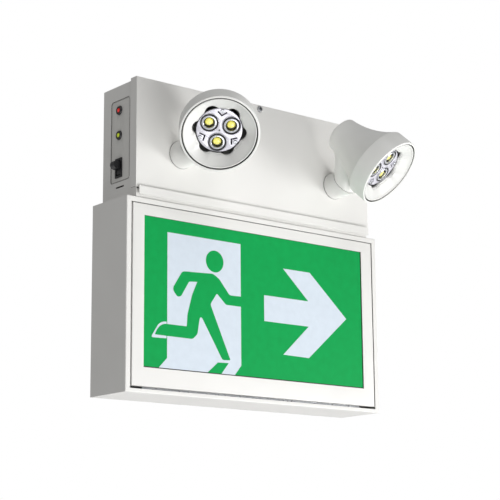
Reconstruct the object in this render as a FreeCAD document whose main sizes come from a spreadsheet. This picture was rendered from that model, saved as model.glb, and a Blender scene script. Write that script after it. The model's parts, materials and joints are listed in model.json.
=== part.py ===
"""Emergency exit light: a lit sign housing with a battery cabinet and two swivelling lamp heads on top.

Frame: +X to the viewer's right, +Y into the wall, +Z up, millimetres. The origin is the centre of the
sign housing's back, midway between its two wall-box screw holes. Fronts face -Y.
"""
import FreeCAD, Part, Sketcher
import math
import os
import re

doc = FreeCAD.newDocument("exit_light")

# name, value, what it is
SIZES = [
    ("sheet", 1.0, "steel sheet thickness"),
    ("sheet_gap", 0.3, "clearance between sheets that slide over each other"),
    ("bend", 0.9, "outer radius of a folded edge"),
    ("sign_width", 350.0, "sign housing, overall width"),
    ("sign_height", 203.2, "sign housing, overall height"),
    ("sign_depth", 63.8, "sign housing, overall depth"),
    ("flange_side", 5.8, "front return flange, sides and top"),
    ("flange_bottom", 4.0, "front return flange, bottom"),
    ("face_gap", 1.0, "gap round the face plate, sides and top"),
    ("face_gap_bottom", 1.6, "gap under the face plate"),
    ("face_recess", 0.5, "face plate behind the flange"),
    ("border_side", 15.7, "face plate beside the legend window"),
    ("border_top", 13.0, "face plate over the legend window"),
    ("border_bottom", 20.8, "face plate under the legend window"),
    ("legend_thick", 3.0, "legend panel thickness"),
    ("diffuser_thick", 2.0, "diffuser sheet thickness"),
    ("panel_lap", 6.0, "panel edge hidden behind the window"),
    ("rail_short", 5.0, "panel rail shorter than the legend window"),
    ("rail_lap", 5.0, "rail lip over the panel edge"),
    ("rail_flange", 36.0, "rail flange along the housing wall"),
    ("bar_width", 12.0, "led bar board width"),
    ("bar_thick", 1.6, "led bar board thickness"),
    ("bar_leds", 14, "leds on each bar"),
    ("bar_led_size", 3.5, "led package side"),
    ("bar_led_thick", 1.0, "led package height"),
    ("plate_flange", 8.0, "back plate's folded edge"),
    ("box_screw_spacing", 88.9, "wall-box screw holes, centre to centre"),
    ("box_screw_bore", 5.0, "wall-box screw hole diameter"),
    ("entry_bore", 22.2, "supply entry knock-out diameter"),
    ("cabinet_width", 327.8, "cabinet cover, overall width"),
    ("cabinet_height", 130.4, "cabinet height above the sign housing"),
    ("cabinet_depth", 63.7, "cabinet cover face from the wall"),
    ("cover_flange", 11.0, "cover's folded side and top flange"),
    ("cover_rise", 2.2, "cover top above the chassis top"),
    ("lip_height", 11.4, "joggled lip, top edge above the sign housing"),
    ("lip_forward", 3.2, "joggled lip in front of the cover face"),
    ("lip_inset", 2.2, "joggled lip's ends from the cover's sides"),
    ("lip_gap", 2.4, "lip bottom edge above the sign housing"),
    ("cover_middle", 2.4, "the cover's hole pattern, right of the middle"),
    ("sill_height", 9.0, "chassis front sill above its floor"),
    ("join_gap", 4.5, "joining bolts beside the battery"),
    ("join_back", 14.0, "joining bolts from the wall"),
    ("join_bolt", 4.0, "joining bolt diameter"),
    ("wire_gap", 20.0, "wire bushing beside the battery"),
    ("wire_back", 14.5, "wire bushing from the wall"),
    ("wire_bore", 7.0, "wire bushing bore diameter"),
    ("bushing_wall", 1.4, "wire bushing wall and collar thickness"),
    ("keyhole_wide", 8.0, "keyhole's round end diameter"),
    ("keyhole_slot", 4.4, "keyhole's slot width"),
    ("keyhole_tall", 12.0, "keyhole, round end's centre to slot's end"),
    ("keyhole_drop", 12.0, "keyhole slot's end below the chassis top"),
    ("window_height", 90.8, "indicator opening height"),
    ("window_width", 35.4, "indicator opening width"),
    ("window_back", 14.2, "indicator opening from the wall"),
    ("window_lift", 21.9, "indicator opening above the sign housing"),
    ("window_round", 3.5, "indicator opening corner radius"),
    ("indicator_thick", 1.8, "indicator panel thickness"),
    ("indicator_lap", 5.0, "indicator panel edge behind the sheet"),
    ("lamp_back", 29.6, "pilot lamps and test switch from the wall"),
    ("ac_lamp_lift", 100.9, "power lamp above the sign housing"),
    ("ready_lamp_lift", 73.4, "charge lamp above the sign housing"),
    ("lamp_bezel", 10.4, "pilot lamp holder diameter"),
    ("lamp_bulb", 5.0, "pilot lamp diameter"),
    ("switch_lift", 37.5, "test switch centre above the sign housing"),
    ("switch_height", 21.0, "test switch frame height"),
    ("switch_width", 12.0, "test switch frame width"),
    ("switch_rim", 1.6, "test switch frame wall"),
    ("switch_deep", 15.0, "test switch body behind the panel"),
    ("rocker_nose", 4.6, "radius of the rocker's raised end"),
    ("rocker_out", 4.4, "rocker nose centre in front of the panel"),
    ("rocker_gap", 0.4, "clearance round the rocker"),
    ("tab_slot_width", 15.0, "panel tab slot width"),
    ("tab_slot_height", 1.8, "panel tab slot height"),
    ("tab_slot_drop", 5.5, "panel tab slot below the indicator opening"),
    ("battery_width", 151.0, "battery width"),
    ("battery_height", 94.0, "battery height"),
    ("battery_depth", 34.0, "battery depth"),
    ("battery_gap", 0.3, "clearance behind the battery"),
    ("strap_width", 22.0, "battery strap width"),
    ("strap_foot", 12.0, "battery strap foot"),
    ("board_width", 56.0, "charger board width"),
    ("board_height", 96.0, "charger board height"),
    ("board_thick", 1.6, "charger board thickness"),
    ("board_gap", 7.7, "charger board from the chassis side"),
    ("board_lift", 10.0, "charger board above the chassis floor"),
    ("standoff_tall", 8.0, "board standoff height"),
    ("standoff_wide", 6.0, "board standoff diameter"),
    ("board_hole_inset", 5.0, "board screw from the board's edges"),
    ("capacitor_wide", 12.0, "largest capacitor's diameter"),
    ("capacitor_tall", 18.0, "largest capacitor's height"),
    ("relay_wide", 26.0, "relay width"),
    ("relay_tall", 13.0, "relay height"),
    ("relay_deep", 15.0, "relay depth"),
    ("fins_wide", 34.0, "board heat sink width"),
    ("fins_deep", 20.0, "board heat sink depth"),
    ("fins_tall", 9.0, "board heat sink height"),
    ("fin_thick", 2.0, "board heat sink's base and fins"),
    ("terminal_pitch", 7.0, "terminal block, way to way"),
    ("terminal_ways", 6, "terminal block ways"),
    ("terminal_tall", 9.0, "terminal block height"),
    ("terminal_deep", 11.0, "terminal block depth"),
    ("transformer_width", 34.0, "transformer width"),
    ("transformer_height", 34.0, "transformer height"),
    ("transformer_depth", 34.0, "transformer depth"),
    ("transformer_gap", 6.0, "transformer beside the test switch"),
    ("transformer_foot", 9.0, "transformer foot in front of and behind its core"),
    ("turret_spacing", 217.5, "lamp turrets, centre to centre"),
    ("turret_lift", 53.5, "lamp turrets above the sign housing"),
    ("turret_wide", 29.5, "lamp turret diameter"),
    ("turret_tall", 19.6, "lamp turret height on its axis"),
    ("turret_cut", 30.0, "angle of the turret's slanted end"),
    ("turret_bore", 13.0, "turret wire bore diameter"),
    ("shank_wide", 19.0, "turret shank diameter"),
    ("shank_long", 11.0, "turret shank behind the cover's front"),
    ("nut_wide", 28.0, "turret nut across its corners"),
    ("nut_thick", 5.0, "turret nut thickness"),
    ("swivel_gap", 0.25, "clearance at each swivelling face"),
    ("nipple_wide", 10.0, "pivot nipple diameter"),
    ("nipple_bore", 7.0, "pivot nipple bore"),
    ("nipple_fit", 0.08, "radial clearance round the nipple"),
    ("foot_wide", 29.0, "lamp foot diameter at the turret"),
    ("foot_floor", 4.0, "lamp foot floor thickness"),
    ("foot_root", 36.0, "lamp foot diameter at the bell"),
    ("foot_root_back", 25.0, "lamp foot root behind the pivot line"),
    ("foot_root_off", 8.0, "lamp foot root from the bell's axis"),
    ("foot_bore", 20.0, "lamp foot inside diameter"),
    ("neck", 46.5, "pivot face to bell axis"),
    ("neck_angle", 77.4, "bell axis from the pivot axis"),
    ("rim_ahead", 34.6, "bell rim ahead of the pivot line"),
    ("bell_length", 84.0, "bell length, rim to back"),
    ("rim_wide", 83.0, "bell rim diameter"),
    ("band_long", 21.0, "straight rim band length"),
    ("bell_back_wide", 40.0, "bell back diameter"),
    ("bell_dome", 6.4, "bell back dome height"),
    ("bell_curve", 102.0, "radius of the bell's flank"),
    ("bell_wall", 2.2, "bell wall thickness"),
    ("bezel_gap", 0.25, "clearance round the bezel"),
    ("bezel_wall", 1.6, "bezel wall thickness"),
    ("bezel_set", 0.6, "bezel edge behind the rim"),
    ("cone_deep", 9.0, "bezel cone depth"),
    ("star_wide", 49.2, "bezel opening diameter between lobes"),
    ("lobe_reach", 28.3, "bezel lobe, outer reach from the axis"),
    ("lobe_wide", 16.0, "bezel lobe diameter"),
    ("lobes", 6, "bezel lobes"),
    ("module_wide", 47.2, "led module diameter"),
    ("module_thick", 2.5, "led module front plate thickness"),
    ("module_set", 11.6, "led module face behind the rim"),
    ("module_roll", 6.7, "led module turned about the lamp axis"),
    ("module_leds", 3, "leds in a module"),
    ("lens_ring", 13.3, "lens centres from the axis"),
    ("lens_wide", 16.4, "lens diameter"),
    ("lens_back", 9.0, "lens diameter at the led"),
    ("lens_deep", 7.0, "lens depth"),
    ("chip_size", 3.4, "led package side"),
    ("chip_thick", 1.0, "led package height"),
    ("module_screw_ring", 21.2, "module screws from the axis"),
    ("module_screw", 2.2, "module screw diameter"),
    ("sink_wide", 43.0, "heat sink diameter"),
    ("sink_long", 18.0, "heat sink fin length"),
    ("sink_stem", 16.0, "heat sink stem diameter"),
    ("sink_fin", 2.0, "heat sink fin and groove width"),
    ("screw_wide", 3.5, "sheet screw diameter"),
    ("screw_head", 6.5, "sheet screw head diameter"),
    ("screw_rise", 2.2, "sheet screw head height"),
    ("screw_long", 8.0, "sheet screw length under the head"),
    ("screw_gap", 0.1, "radial clearance round a screw"),
    ("cover_screw_drop", 5.0, "cover screw below the cover's top edge"),
    ("left_swivel", 80.0, "left turret's turn about its own axis"),
    ("left_turn", 160.0, "left lamp's turn about its pivot"),
    ("right_swivel", 91.7, "right turret's turn about its own axis"),
    ("right_turn", -161.8, "right lamp's turn about its pivot"),
]

sheet = doc.addObject("Spreadsheet::Sheet", "Sizes")
size = {}
for row, (alias, value, meaning) in enumerate(SIZES, start=1):
    sheet.set("A%d" % row, meaning)
    sheet.set("B%d" % row, str(value))
    sheet.setAlias("B%d" % row, alias)
    size[alias] = value
doc.recompute()

parts = []          # every finished sub-part, in the order it is made


# helpers

def formula(text):
    """Writes the sheet's name before each alias in a formula."""
    return re.sub(r"[a-z][a-z_]+", lambda m: "Sizes." + m.group(0) if m.group(0) in size else m.group(0), str(text))


def number(text):
    """The present value of a formula."""
    found = sheet.evalExpression(formula(text))
    return float(getattr(found, "Value", found))


def bind(thing, **formulas):
    for prop, text in formulas.items():
        thing.setExpression(prop.replace("__", "."), formula(text))


def place(thing, x=0, y=0, z=0):
    bind(thing, Placement__Base__x=x, Placement__Base__y=y, Placement__Base__z=z)
    return thing


def finish(thing, label):
    """Names a finished sub-part and lists it for export."""
    thing.Label = label
    parts.append(thing)
    return thing


def box(x, y, z, dx, dy, dz):
    """A box from its low corner and its three sides."""
    solid = doc.addObject("Part::Box", "block")
    bind(solid, Length=dx, Width=dy, Height=dz)
    return place(solid, x, y, z)


AXES = {
    "+X": FreeCAD.Rotation(FreeCAD.Vector(0, 1, 0), 90),
    "-X": FreeCAD.Rotation(FreeCAD.Vector(0, 1, 0), -90),
    "+Y": FreeCAD.Rotation(FreeCAD.Vector(1, 0, 0), -90),
    "-Y": FreeCAD.Rotation(FreeCAD.Vector(1, 0, 0), 90),
    "+Z": FreeCAD.Rotation(),
    "-Z": FreeCAD.Rotation(FreeCAD.Vector(1, 0, 0), 180),
}


def rod(axis, x, y, z, wide, long):
    """A round bar of the given diameter that starts at a point and runs along an axis."""
    solid = doc.addObject("Part::Cylinder", "rod")
    solid.Placement.Rotation = AXES[axis]
    bind(solid, Radius="(%s) / 2" % wide, Height=long)
    return place(solid, x, y, z)


def taper(axis, x, y, z, wide, wide_end, long):
    solid = doc.addObject("Part::Cone", "taper")
    solid.Placement.Rotation = AXES[axis]
    bind(solid, Radius1="(%s) / 2" % wide, Radius2="(%s) / 2" % wide_end, Height=long)
    return place(solid, x, y, z)


def hexagon(axis, x, y, z, wide, long):
    solid = doc.addObject("Part::Prism", "hexagon")
    solid.Polygon = 6
    solid.Placement.Rotation = AXES[axis]
    bind(solid, Circumradius="(%s) / 2" % wide, Height=long)
    return place(solid, x, y, z)


def fuse(solids):
    joined = doc.addObject("Part::MultiFuse", "joined")
    joined.Shapes = solids
    return joined


def cut(base, tools):
    result = doc.addObject("Part::Cut", "trimmed")
    result.Base = base
    result.Tool = tools[0] if len(tools) == 1 else fuse(tools)
    return result


def group(solids):
    gathered = doc.addObject("Part::Compound", "gathered")
    gathered.Links = solids
    return gathered


def screw(axis, x, y, z, wide="screw_wide", head="screw_head", rise="screw_rise", long="screw_long"):
    """A pan-head screw: its head's seat is at the point and its shank runs along the axis."""
    back = {"+": "-", "-": "+"}[axis[0]] + axis[1]
    return fuse([rod(axis, x, y, z, wide, long), taper(back, x, y, z, head, "0.8 * (%s)" % head, rise)])


def body(name):
    return doc.addObject("PartDesign::Body", name)


def sketch(owner, plane, offset=0):
    """A sketch on one of the body's origin planes, moved along that plane's normal."""
    found = [f for f in owner.Origin.OriginFeatures if f.Role == plane][0]
    drawing = owner.newObject("Sketcher::SketchObject", "profile")
    drawing.AttachmentSupport = (found, [""])
    drawing.MapMode = "FlatFace"
    bind(drawing, AttachmentOffset__Base__z=offset)
    return drawing


def pin_point(drawing, item, point, x, y):
    """Fixes one point of a sketch at formulas for its two coordinates."""
    for kind, text in (("DistanceX", x), ("DistanceY", y)):
        index = drawing.addConstraint(Sketcher.Constraint(kind, -1, 1, item, point, number(text)))
        drawing.setExpression("Constraints[%d]" % index, formula(text))


def outline(drawing, points):
    """A closed outline of straight edges and arcs. A point is (x, y), or (x, y, radius) where an arc of that
    radius, bulging to the right of the way to the next point, leaves it (a negative radius bulges left)."""
    spots = [FreeCAD.Vector(number(p[0]), number(p[1]), 0) for p in points]
    for i, point in enumerate(points):
        start, end = spots[i], spots[(i + 1) % len(spots)]
        if len(point) == 3:
            radius = number(point[2])
            chord = end - start
            side = FreeCAD.Vector(chord.y, -chord.x, 0).normalize() * (1 if radius > 0 else -1)
            half = chord.Length / 2
            rise = abs(radius) - math.sqrt(radius * radius - half * half)
            middle = (start + end) / 2 + side * rise
            item = drawing.addGeometry(Part.Arc(start, middle, end))
            ends = (1, 2) if (drawing.getPoint(item, 1) - start).Length < 1e-6 else (2, 1)
            index = drawing.addConstraint(Sketcher.Constraint("Radius", item, abs(radius)))
            drawing.setExpression("Constraints[%d]" % index, formula("abs(%s)" % point[2]))
        else:
            item = drawing.addGeometry(Part.LineSegment(start, end))
            ends = (1, 2)
        if i == 0:
            first = (item, ends[0])
        else:
            drawing.addConstraint(Sketcher.Constraint("Coincident", last[0], last[1], item, ends[0]))
        pin_point(drawing, item, ends[0], point[0], point[1])
        last = (item, ends[1])
    drawing.addConstraint(Sketcher.Constraint("Coincident", last[0], last[1], first[0], first[1]))
    return drawing


def rectangle(drawing, x0, x1, y0, y1):
    return outline(drawing, [(x0, y0), (x1, y0), (x1, y1), (x0, y1)])


def circle(drawing, x, y, wide):
    spot = FreeCAD.Vector(number(x), number(y), 0)
    item = drawing.addGeometry(Part.Circle(spot, FreeCAD.Vector(0, 0, 1), number(wide) / 2))
    index = drawing.addConstraint(Sketcher.Constraint("Diameter", item, number(wide)))
    drawing.setExpression("Constraints[%d]" % index, formula(wide))
    pin_point(drawing, item, 3, x, y)
    return drawing


def pad(owner, drawing, length, reverse=False):
    feature = owner.newObject("PartDesign::Pad", "pad")
    feature.Profile = drawing
    feature.Reversed = reverse
    bind(feature, Length=length)
    doc.recompute()
    return feature


def pocket(owner, drawing, length, reverse=False):
    """Cuts a sketch into the body, against the sketch's normal unless reversed, and checks that it cut."""
    before = owner.Shape.Volume
    feature = owner.newObject("PartDesign::Pocket", "pocket")
    feature.Profile = drawing
    feature.Reversed = reverse
    bind(feature, Length=length)
    doc.recompute()
    if owner.Shape.Volume > before - 0.01:
        raise RuntimeError("a pocket in %s cut nothing" % owner.Label)
    return feature


def revolve(owner, drawing, kind="PartDesign::Revolution"):
    """Turns a sketch all the way round its vertical axis."""
    feature = owner.newObject(kind, "turned")
    feature.Profile = drawing
    feature.ReferenceAxis = (drawing, ["V_Axis"])
    feature.Angle = 360
    doc.recompute()
    return feature


def round_edges(owner, base, radius, wanted):
    """Fillets the edges of a feature that a test picks out."""
    names = ["Edge%d" % (i + 1) for i, edge in enumerate(base.Shape.Edges) if wanted(edge.BoundBox)]
    feature = owner.newObject("PartDesign::Fillet", "fillet")
    feature.Base = (base, names)
    bind(feature, Radius=radius)
    doc.recompute()
    return feature


# Formulas that several sub-parts share.
SIGN_TOP = "sign_height / 2"
CHASSIS_WIDTH = "(cabinet_width - 2 * (sheet + sheet_gap))"
CHASSIS_TOP = "(sign_height / 2 + cabinet_height - cover_rise)"
CHASSIS_DEPTH = "(cabinet_depth - sheet - sheet_gap)"
LEGEND_WIDTH = "(sign_width - 2 * (flange_side + face_gap + border_side))"
LEGEND_TOP = "(sign_height / 2 - flange_side - face_gap - border_top)"
LEGEND_LOW = "(-sign_height / 2 + flange_bottom + face_gap_bottom + border_bottom)"
RAIL_LENGTH = "(sign_width - 2 * (flange_side + face_gap + border_side) - rail_short)"
JOIN_SIDE = "(battery_width / 2 + join_gap)"
WIRE_SIDE = "(battery_width / 2 + wire_gap)"
FACE_BACK = "(sign_depth - face_recess - sheet)"
LEGEND_BACK = "(sign_depth - face_recess - sheet - legend_thick)"
PANEL_BACK = "(sign_depth - face_recess - sheet - legend_thick - diffuser_thick)"
FLOOR = "(sign_height / 2 + sheet)"


# sign housing

def make_sign_housing():
    """One folded and welded box: four walls and a mitred return flange round the front."""
    owner = body("sign_housing")
    walls = pad(owner, rectangle(sketch(owner, "XZ_Plane"), "-sign_width / 2", "sign_width / 2",
                                 "-sign_height / 2", "sign_height / 2"), "sign_depth")
    front = -number("sign_depth")
    round_edges(owner, walls, "bend", lambda b: b.YMax < front + 0.01)
    pocket(owner, rectangle(sketch(owner, "XZ_Plane"), "-sign_width / 2 + sheet", "sign_width / 2 - sheet",
                            "-sign_height / 2 + sheet", "sign_height / 2 - sheet"), "sign_depth - sheet", True)
    pocket(owner, rectangle(sketch(owner, "XZ_Plane", "sign_depth"),
                            "-sign_width / 2 + flange_side", "sign_width / 2 - flange_side",
                            "-sign_height / 2 + flange_bottom", "sign_height / 2 - flange_side"), "2 * sheet")
    joining_holes(owner, SIGN_TOP)
    finish(owner, "sign_housing")


def joining_holes(owner, height):
    """The holes that the cabinet's floor shares with the sign's top: two bolts and the wire bushing."""
    holes = sketch(owner, "XY_Plane", height)
    for side in (-1, 1):
        circle(holes, "%d * %s" % (side, JOIN_SIDE), "-join_back", "join_bolt + 2 * screw_gap")
    circle(holes, WIRE_SIDE, "-wire_back", "wire_bore + 2 * bushing_wall + 2 * screw_gap")
    pocket(owner, holes, "2 * sheet")


def make_face_plate():
    """The pressed front plate: a window, and an edge turned back all round."""
    owner = body("face_plate")
    low, high = "-sign_height / 2 + flange_bottom + face_gap_bottom", "sign_height / 2 - flange_side - face_gap"
    left, right = "-sign_width / 2 + flange_side + face_gap", "sign_width / 2 - flange_side - face_gap"
    tray = pad(owner, rectangle(sketch(owner, "XZ_Plane", PANEL_BACK + " + sheet_gap"), left, right, low, high),
               "sheet + legend_thick + diffuser_thick - sheet_gap")
    front = -number("sign_depth - face_recess")
    round_edges(owner, tray, "bend", lambda b: b.YMax < front + 0.01)
    pocket(owner, rectangle(sketch(owner, "XZ_Plane", PANEL_BACK), left + " + sheet", right + " - sheet",
                            low + " + sheet", high + " - sheet"), "legend_thick + diffuser_thick", True)
    pocket(owner, rectangle(sketch(owner, "XZ_Plane", "sign_depth"), "-%s / 2" % LEGEND_WIDTH, LEGEND_WIDTH + " / 2",
                            LEGEND_LOW, LEGEND_TOP), "sign_depth / 4")
    finish(owner, "face_plate")


def make_panels():
    """The legend panel and the diffuser behind it: two flat sheets that lie face to face."""
    wide = "(%s + 2 * panel_lap)" % LEGEND_WIDTH
    tall = "(%s - %s + 2 * panel_lap)" % (LEGEND_TOP, LEGEND_LOW)
    low = LEGEND_LOW + " - panel_lap"
    legend = box("-%s / 2" % wide, "-" + FACE_BACK, low, wide, "legend_thick", tall)
    finish(legend, "legend_panel")
    diffuser = box("-%s / 2" % wide, "-" + LEGEND_BACK, low, wide, "diffuser_thick", tall)
    finish(diffuser, "diffuser_panel")


def make_panel_rail(label, side):
    """An angle under the housing's top wall or over its bottom wall, with a lip that backs the panels."""
    owner = body(label)
    wall = "%d * (sign_height / 2 - sheet)" % side
    inner = "%d * (sign_height / 2 - 2 * sheet)" % side
    lip = "%s + %d * (panel_lap - rail_lap)" % (LEGEND_TOP if side > 0 else LEGEND_LOW, side)
    front = "-" + PANEL_BACK
    profile = sketch(owner, "YZ_Plane", "-%s / 2" % RAIL_LENGTH)
    points = [("%s + rail_flange" % front, wall), (front, wall), (front, lip), (front + " + sheet", lip),
              (front + " + sheet", inner), ("%s + rail_flange" % front, inner)]
    outline(profile, points)
    pad(owner, profile, RAIL_LENGTH)
    finish(owner, label)


def make_led_bar(label, side):
    """A narrow board on the rail with a row of leds that face the middle of the housing."""
    middle = "(%s - rail_flange / 2 - 3)" % PANEL_BACK
    face = "%d * (sign_height / 2 - 2 * sheet)" % side
    board = box("-%s / 2" % RAIL_LENGTH, "-%s - bar_width / 2" % middle,
                "%s - %s" % (face, "bar_thick" if side > 0 else "0"), RAIL_LENGTH, "bar_width", "bar_thick")
    pieces = [board]
    for i in range(int(size["bar_leds"])):
        low = "bar_thick + bar_led_thick" if side > 0 else "-bar_thick"
        pieces.append(box("(%d - (bar_leds - 1) / 2) * %s / bar_leds - bar_led_size / 2" % (i, RAIL_LENGTH),
                          "-%s - bar_led_size / 2" % middle, "%s - (%s)" % (face, low),
                          "bar_led_size", "bar_led_size", "bar_led_thick"))
    finish(fuse(pieces), label)


def make_back_plate():
    """The plate that screws to a wall box: folded edges top and bottom, two screw holes, a supply entry."""
    owner = body("sign_back_plate")
    left, right = "-sign_width / 2 + sheet + sheet_gap", "sign_width / 2 - sheet - sheet_gap"
    low, high = "-sign_height / 2 + sheet + sheet_gap", "sign_height / 2 - sheet - sheet_gap"
    pad(owner, rectangle(sketch(owner, "XZ_Plane"), left, right, low, high), "plate_flange")
    pocket(owner, rectangle(sketch(owner, "XZ_Plane", "sheet"), left + " - sheet", right + " + sheet",
                            low + " + sheet", high + " - sheet"), "plate_flange", True)
    holes = sketch(owner, "XZ_Plane", "plate_flange")
    for side in (-1, 1):
        circle(holes, "%d * box_screw_spacing / 2" % side, 0, "box_screw_bore")
    circle(holes, 0, 0, "entry_bore")
    pocket(owner, holes, "2 * plate_flange")
    finish(owner, "sign_back_plate")


# battery cabinet

def make_chassis():
    """The tray on the wall: back, sides, top, floor, and a low sill along the floor's front."""
    owner = body("cabinet_chassis")
    half = CHASSIS_WIDTH + " / 2"
    pad(owner, rectangle(sketch(owner, "XZ_Plane"), "-" + half, half, SIGN_TOP, CHASSIS_TOP), CHASSIS_DEPTH)
    pocket(owner, rectangle(sketch(owner, "XZ_Plane", CHASSIS_DEPTH), "-%s + sheet" % half, half + " - sheet",
                            SIGN_TOP + " + sheet", CHASSIS_TOP + " - sheet"), CHASSIS_DEPTH + " - sheet")
    pad(owner, rectangle(sketch(owner, "XZ_Plane", CHASSIS_DEPTH), "-%s + sheet" % half, half + " - sheet",
                         SIGN_TOP + " + sheet / 2", SIGN_TOP + " + sill_height"), "sheet", True)
    joining_holes(owner, FLOOR)
    keyholes = sketch(owner, "XZ_Plane", "2 * sheet")
    end = CHASSIS_TOP + " - keyhole_drop"
    slope = "sqrt((keyhole_wide / 2)^2 - (keyhole_slot / 2)^2)"
    for side in (-1, 1):
        middle = "%d * battery_width / 2" % side
        left, right = middle + " - keyhole_slot / 2", middle + " + keyhole_slot / 2"
        foot = end + " - keyhole_tall"
        outline(keyholes, [(right, "%s + %s" % (foot, slope)), (right, end), (left, end),
                           (left, "%s + %s" % (foot, slope), "keyhole_wide / 2"),
                           (middle + " - keyhole_wide / 2", foot, "keyhole_wide / 2"),
                           (middle, foot + " - keyhole_wide / 2", "keyhole_wide / 2"),
                           (middle + " + keyhole_wide / 2", foot, "keyhole_wide / 2")])
    pocket(owner, keyholes, "4 * sheet")
    window = sketch(owner, "YZ_Plane", "-%s - sheet" % half)
    low = SIGN_TOP + " + window_lift"
    back, front = "-window_back", "-window_back - window_width"
    rounded = "window_round"
    outline(window, [(front + " + " + rounded, low), (back + " - " + rounded, low, rounded),
                     (back, low + " + " + rounded), (back, low + " + window_height - " + rounded, rounded),
                     (back + " - " + rounded, low + " + window_height"),
                     (front + " + " + rounded, low + " + window_height", rounded),
                     (front, low + " + window_height - " + rounded), (front, low + " + " + rounded, rounded)])
    pocket(owner, window, "3 * sheet", True)
    slot = sketch(owner, "YZ_Plane", "-%s - sheet" % half)
    rectangle(slot, "-window_back - window_width / 2 - tab_slot_width / 2",
              "-window_back - window_width / 2 + tab_slot_width / 2",
              low + " - tab_slot_drop - tab_slot_height / 2", low + " - tab_slot_drop + tab_slot_height / 2")
    pocket(owner, slot, "3 * sheet", True)
    finish(owner, "cabinet_chassis")


def make_cover():
    """The folded front: a top flange, two side flanges and a lower edge joggled out over the sign's top."""
    owner = body("cabinet_cover")
    face, lip = "-cabinet_depth", "-cabinet_depth - lip_forward"
    top = SIGN_TOP + " + cabinet_height"
    step = SIGN_TOP + " + lip_height"
    low = SIGN_TOP + " + lip_gap"
    profile = sketch(owner, "YZ_Plane", "-cabinet_width / 2")
    outline(profile, [(face + " + cover_flange", top), (face, top), (face, step), (lip, step), (lip, low),
                      (lip + " + sheet", low), (lip + " + sheet", step + " - sheet"),
                      (face + " + sheet", step + " - sheet"), (face + " + sheet", top + " - sheet"),
                      (face + " + cover_flange", top + " - sheet")])
    pad(owner, profile, "cabinet_width")
    for side in ("-cabinet_width / 2", "cabinet_width / 2 - sheet"):
        flange = sketch(owner, "YZ_Plane", side)
        rectangle(flange, face + " + sheet / 2", face + " + cover_flange", step, top + " - sheet / 2")
        pad(owner, flange, "sheet")
    for side in (-1, 1):
        notch = sketch(owner, "YZ_Plane", "%d * cabinet_width / 2" % side)
        rectangle(notch, lip + " - sheet", face, low + " - sheet", step)
        last = pocket(owner, notch, "lip_inset", side < 0)
    edge_y = number(face)
    edge_x = number("cabinet_width / 2")
    bottom = number(step)
    round_edges(owner, last, "bend", lambda b: b.YMax < edge_y + 0.01 and b.ZMin > bottom - 0.01 and
                (b.XMax < 0.01 - edge_x or b.XMin > edge_x - 0.01 or b.ZMin > number(top) - 0.01)
                and b.YMin > edge_y - 0.01)
    holes = sketch(owner, "XZ_Plane", "cabinet_depth")
    for side in (-1, 1):
        circle(holes, "cover_middle + %d * turret_spacing / 2" % side, SIGN_TOP + " + turret_lift",
               "shank_wide + 2 * swivel_gap")
    circle(holes, "cover_middle", top + " - cover_screw_drop", "screw_wide + 2 * screw_gap")
    pocket(owner, holes, "2 * sheet")
    finish(owner, "cabinet_cover")


def make_cover_screw():
    """The screw at the top of the cover, with the tab of the chassis that it bites into."""
    height = SIGN_TOP + " + cabinet_height - cover_screw_drop"
    finish(screw("+Y", "cover_middle", "-cabinet_depth", height), "cover_screw")
    tab = box("cover_middle - strap_width / 2", "-%s" % CHASSIS_DEPTH, "%s - screw_head" % height, "strap_width", "sheet",
              "%s - sheet - (%s - screw_head)" % (CHASSIS_TOP, height))
    hole = rod("+Y", "cover_middle", "-cabinet_depth", height, "screw_wide + 2 * screw_gap", "4 * sheet")
    finish(cut(tab, [hole]), "cover_screw_tab")


def make_joining_bolts():
    """Two bolts and nuts through the chassis floor and the sign housing's top."""
    bolts, nuts = [], []
    for side in (-1, 1):
        x = "%d * %s" % (side, JOIN_SIDE)
        bolts.append(screw("-Z", x, "-join_back", FLOOR, "join_bolt", "2 * join_bolt", "0.6 * join_bolt",
                           "3 * join_bolt"))
        nut = hexagon("-Z", x, "-join_back", SIGN_TOP + " - sheet", "2 * join_bolt", "0.8 * join_bolt")
        nuts.append(cut(nut, [rod("-Z", x, "-join_back", SIGN_TOP, "join_bolt + 2 * screw_gap", "3 * join_bolt")]))
    finish(group(bolts), "joining_bolts")
    finish(group(nuts), "joining_nuts")


def make_wire_bushing():
    """The bushing that leads the sign's wires through both sheets, with a collar on each side."""
    spot = (WIRE_SIDE, "-wire_back")
    tube = rod("-Z", *spot, FLOOR + " + bushing_wall", "wire_bore + 2 * bushing_wall", "2 * sheet + 2 * bushing_wall")
    collars = [rod("-Z", *spot, FLOOR + " + bushing_wall", "wire_bore + 4 * bushing_wall", "bushing_wall"),
               rod("-Z", *spot, SIGN_TOP + " - sheet", "wire_bore + 4 * bushing_wall", "bushing_wall")]
    bore = rod("-Z", *spot, FLOOR + " + 3 * bushing_wall", "wire_bore", "2 * sheet + 8 * bushing_wall")
    finish(cut(fuse([tube] + collars), [bore]), "wire_bushing")


def make_battery():
    """A sealed block with two terminals on its top."""
    owner = body("battery")
    case = pad(owner, rectangle(sketch(owner, "XZ_Plane", "sheet + battery_gap"), "-battery_width / 2",
                                "battery_width / 2", FLOOR, FLOOR + " + battery_height"), "battery_depth")
    round_edges(owner, case, 2, lambda b: b.YLength > 20)
    finish(owner, "battery")
    posts = []
    for side in (-1, 1):
        posts.append(box("%d * battery_width * 0.42 - 3.2" % side, "-sheet - battery_gap - battery_depth / 2 - 0.4",
                         FLOOR + " + battery_height", 6.4, 0.8, 7))
    finish(group(posts), "battery_terminals")


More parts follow.
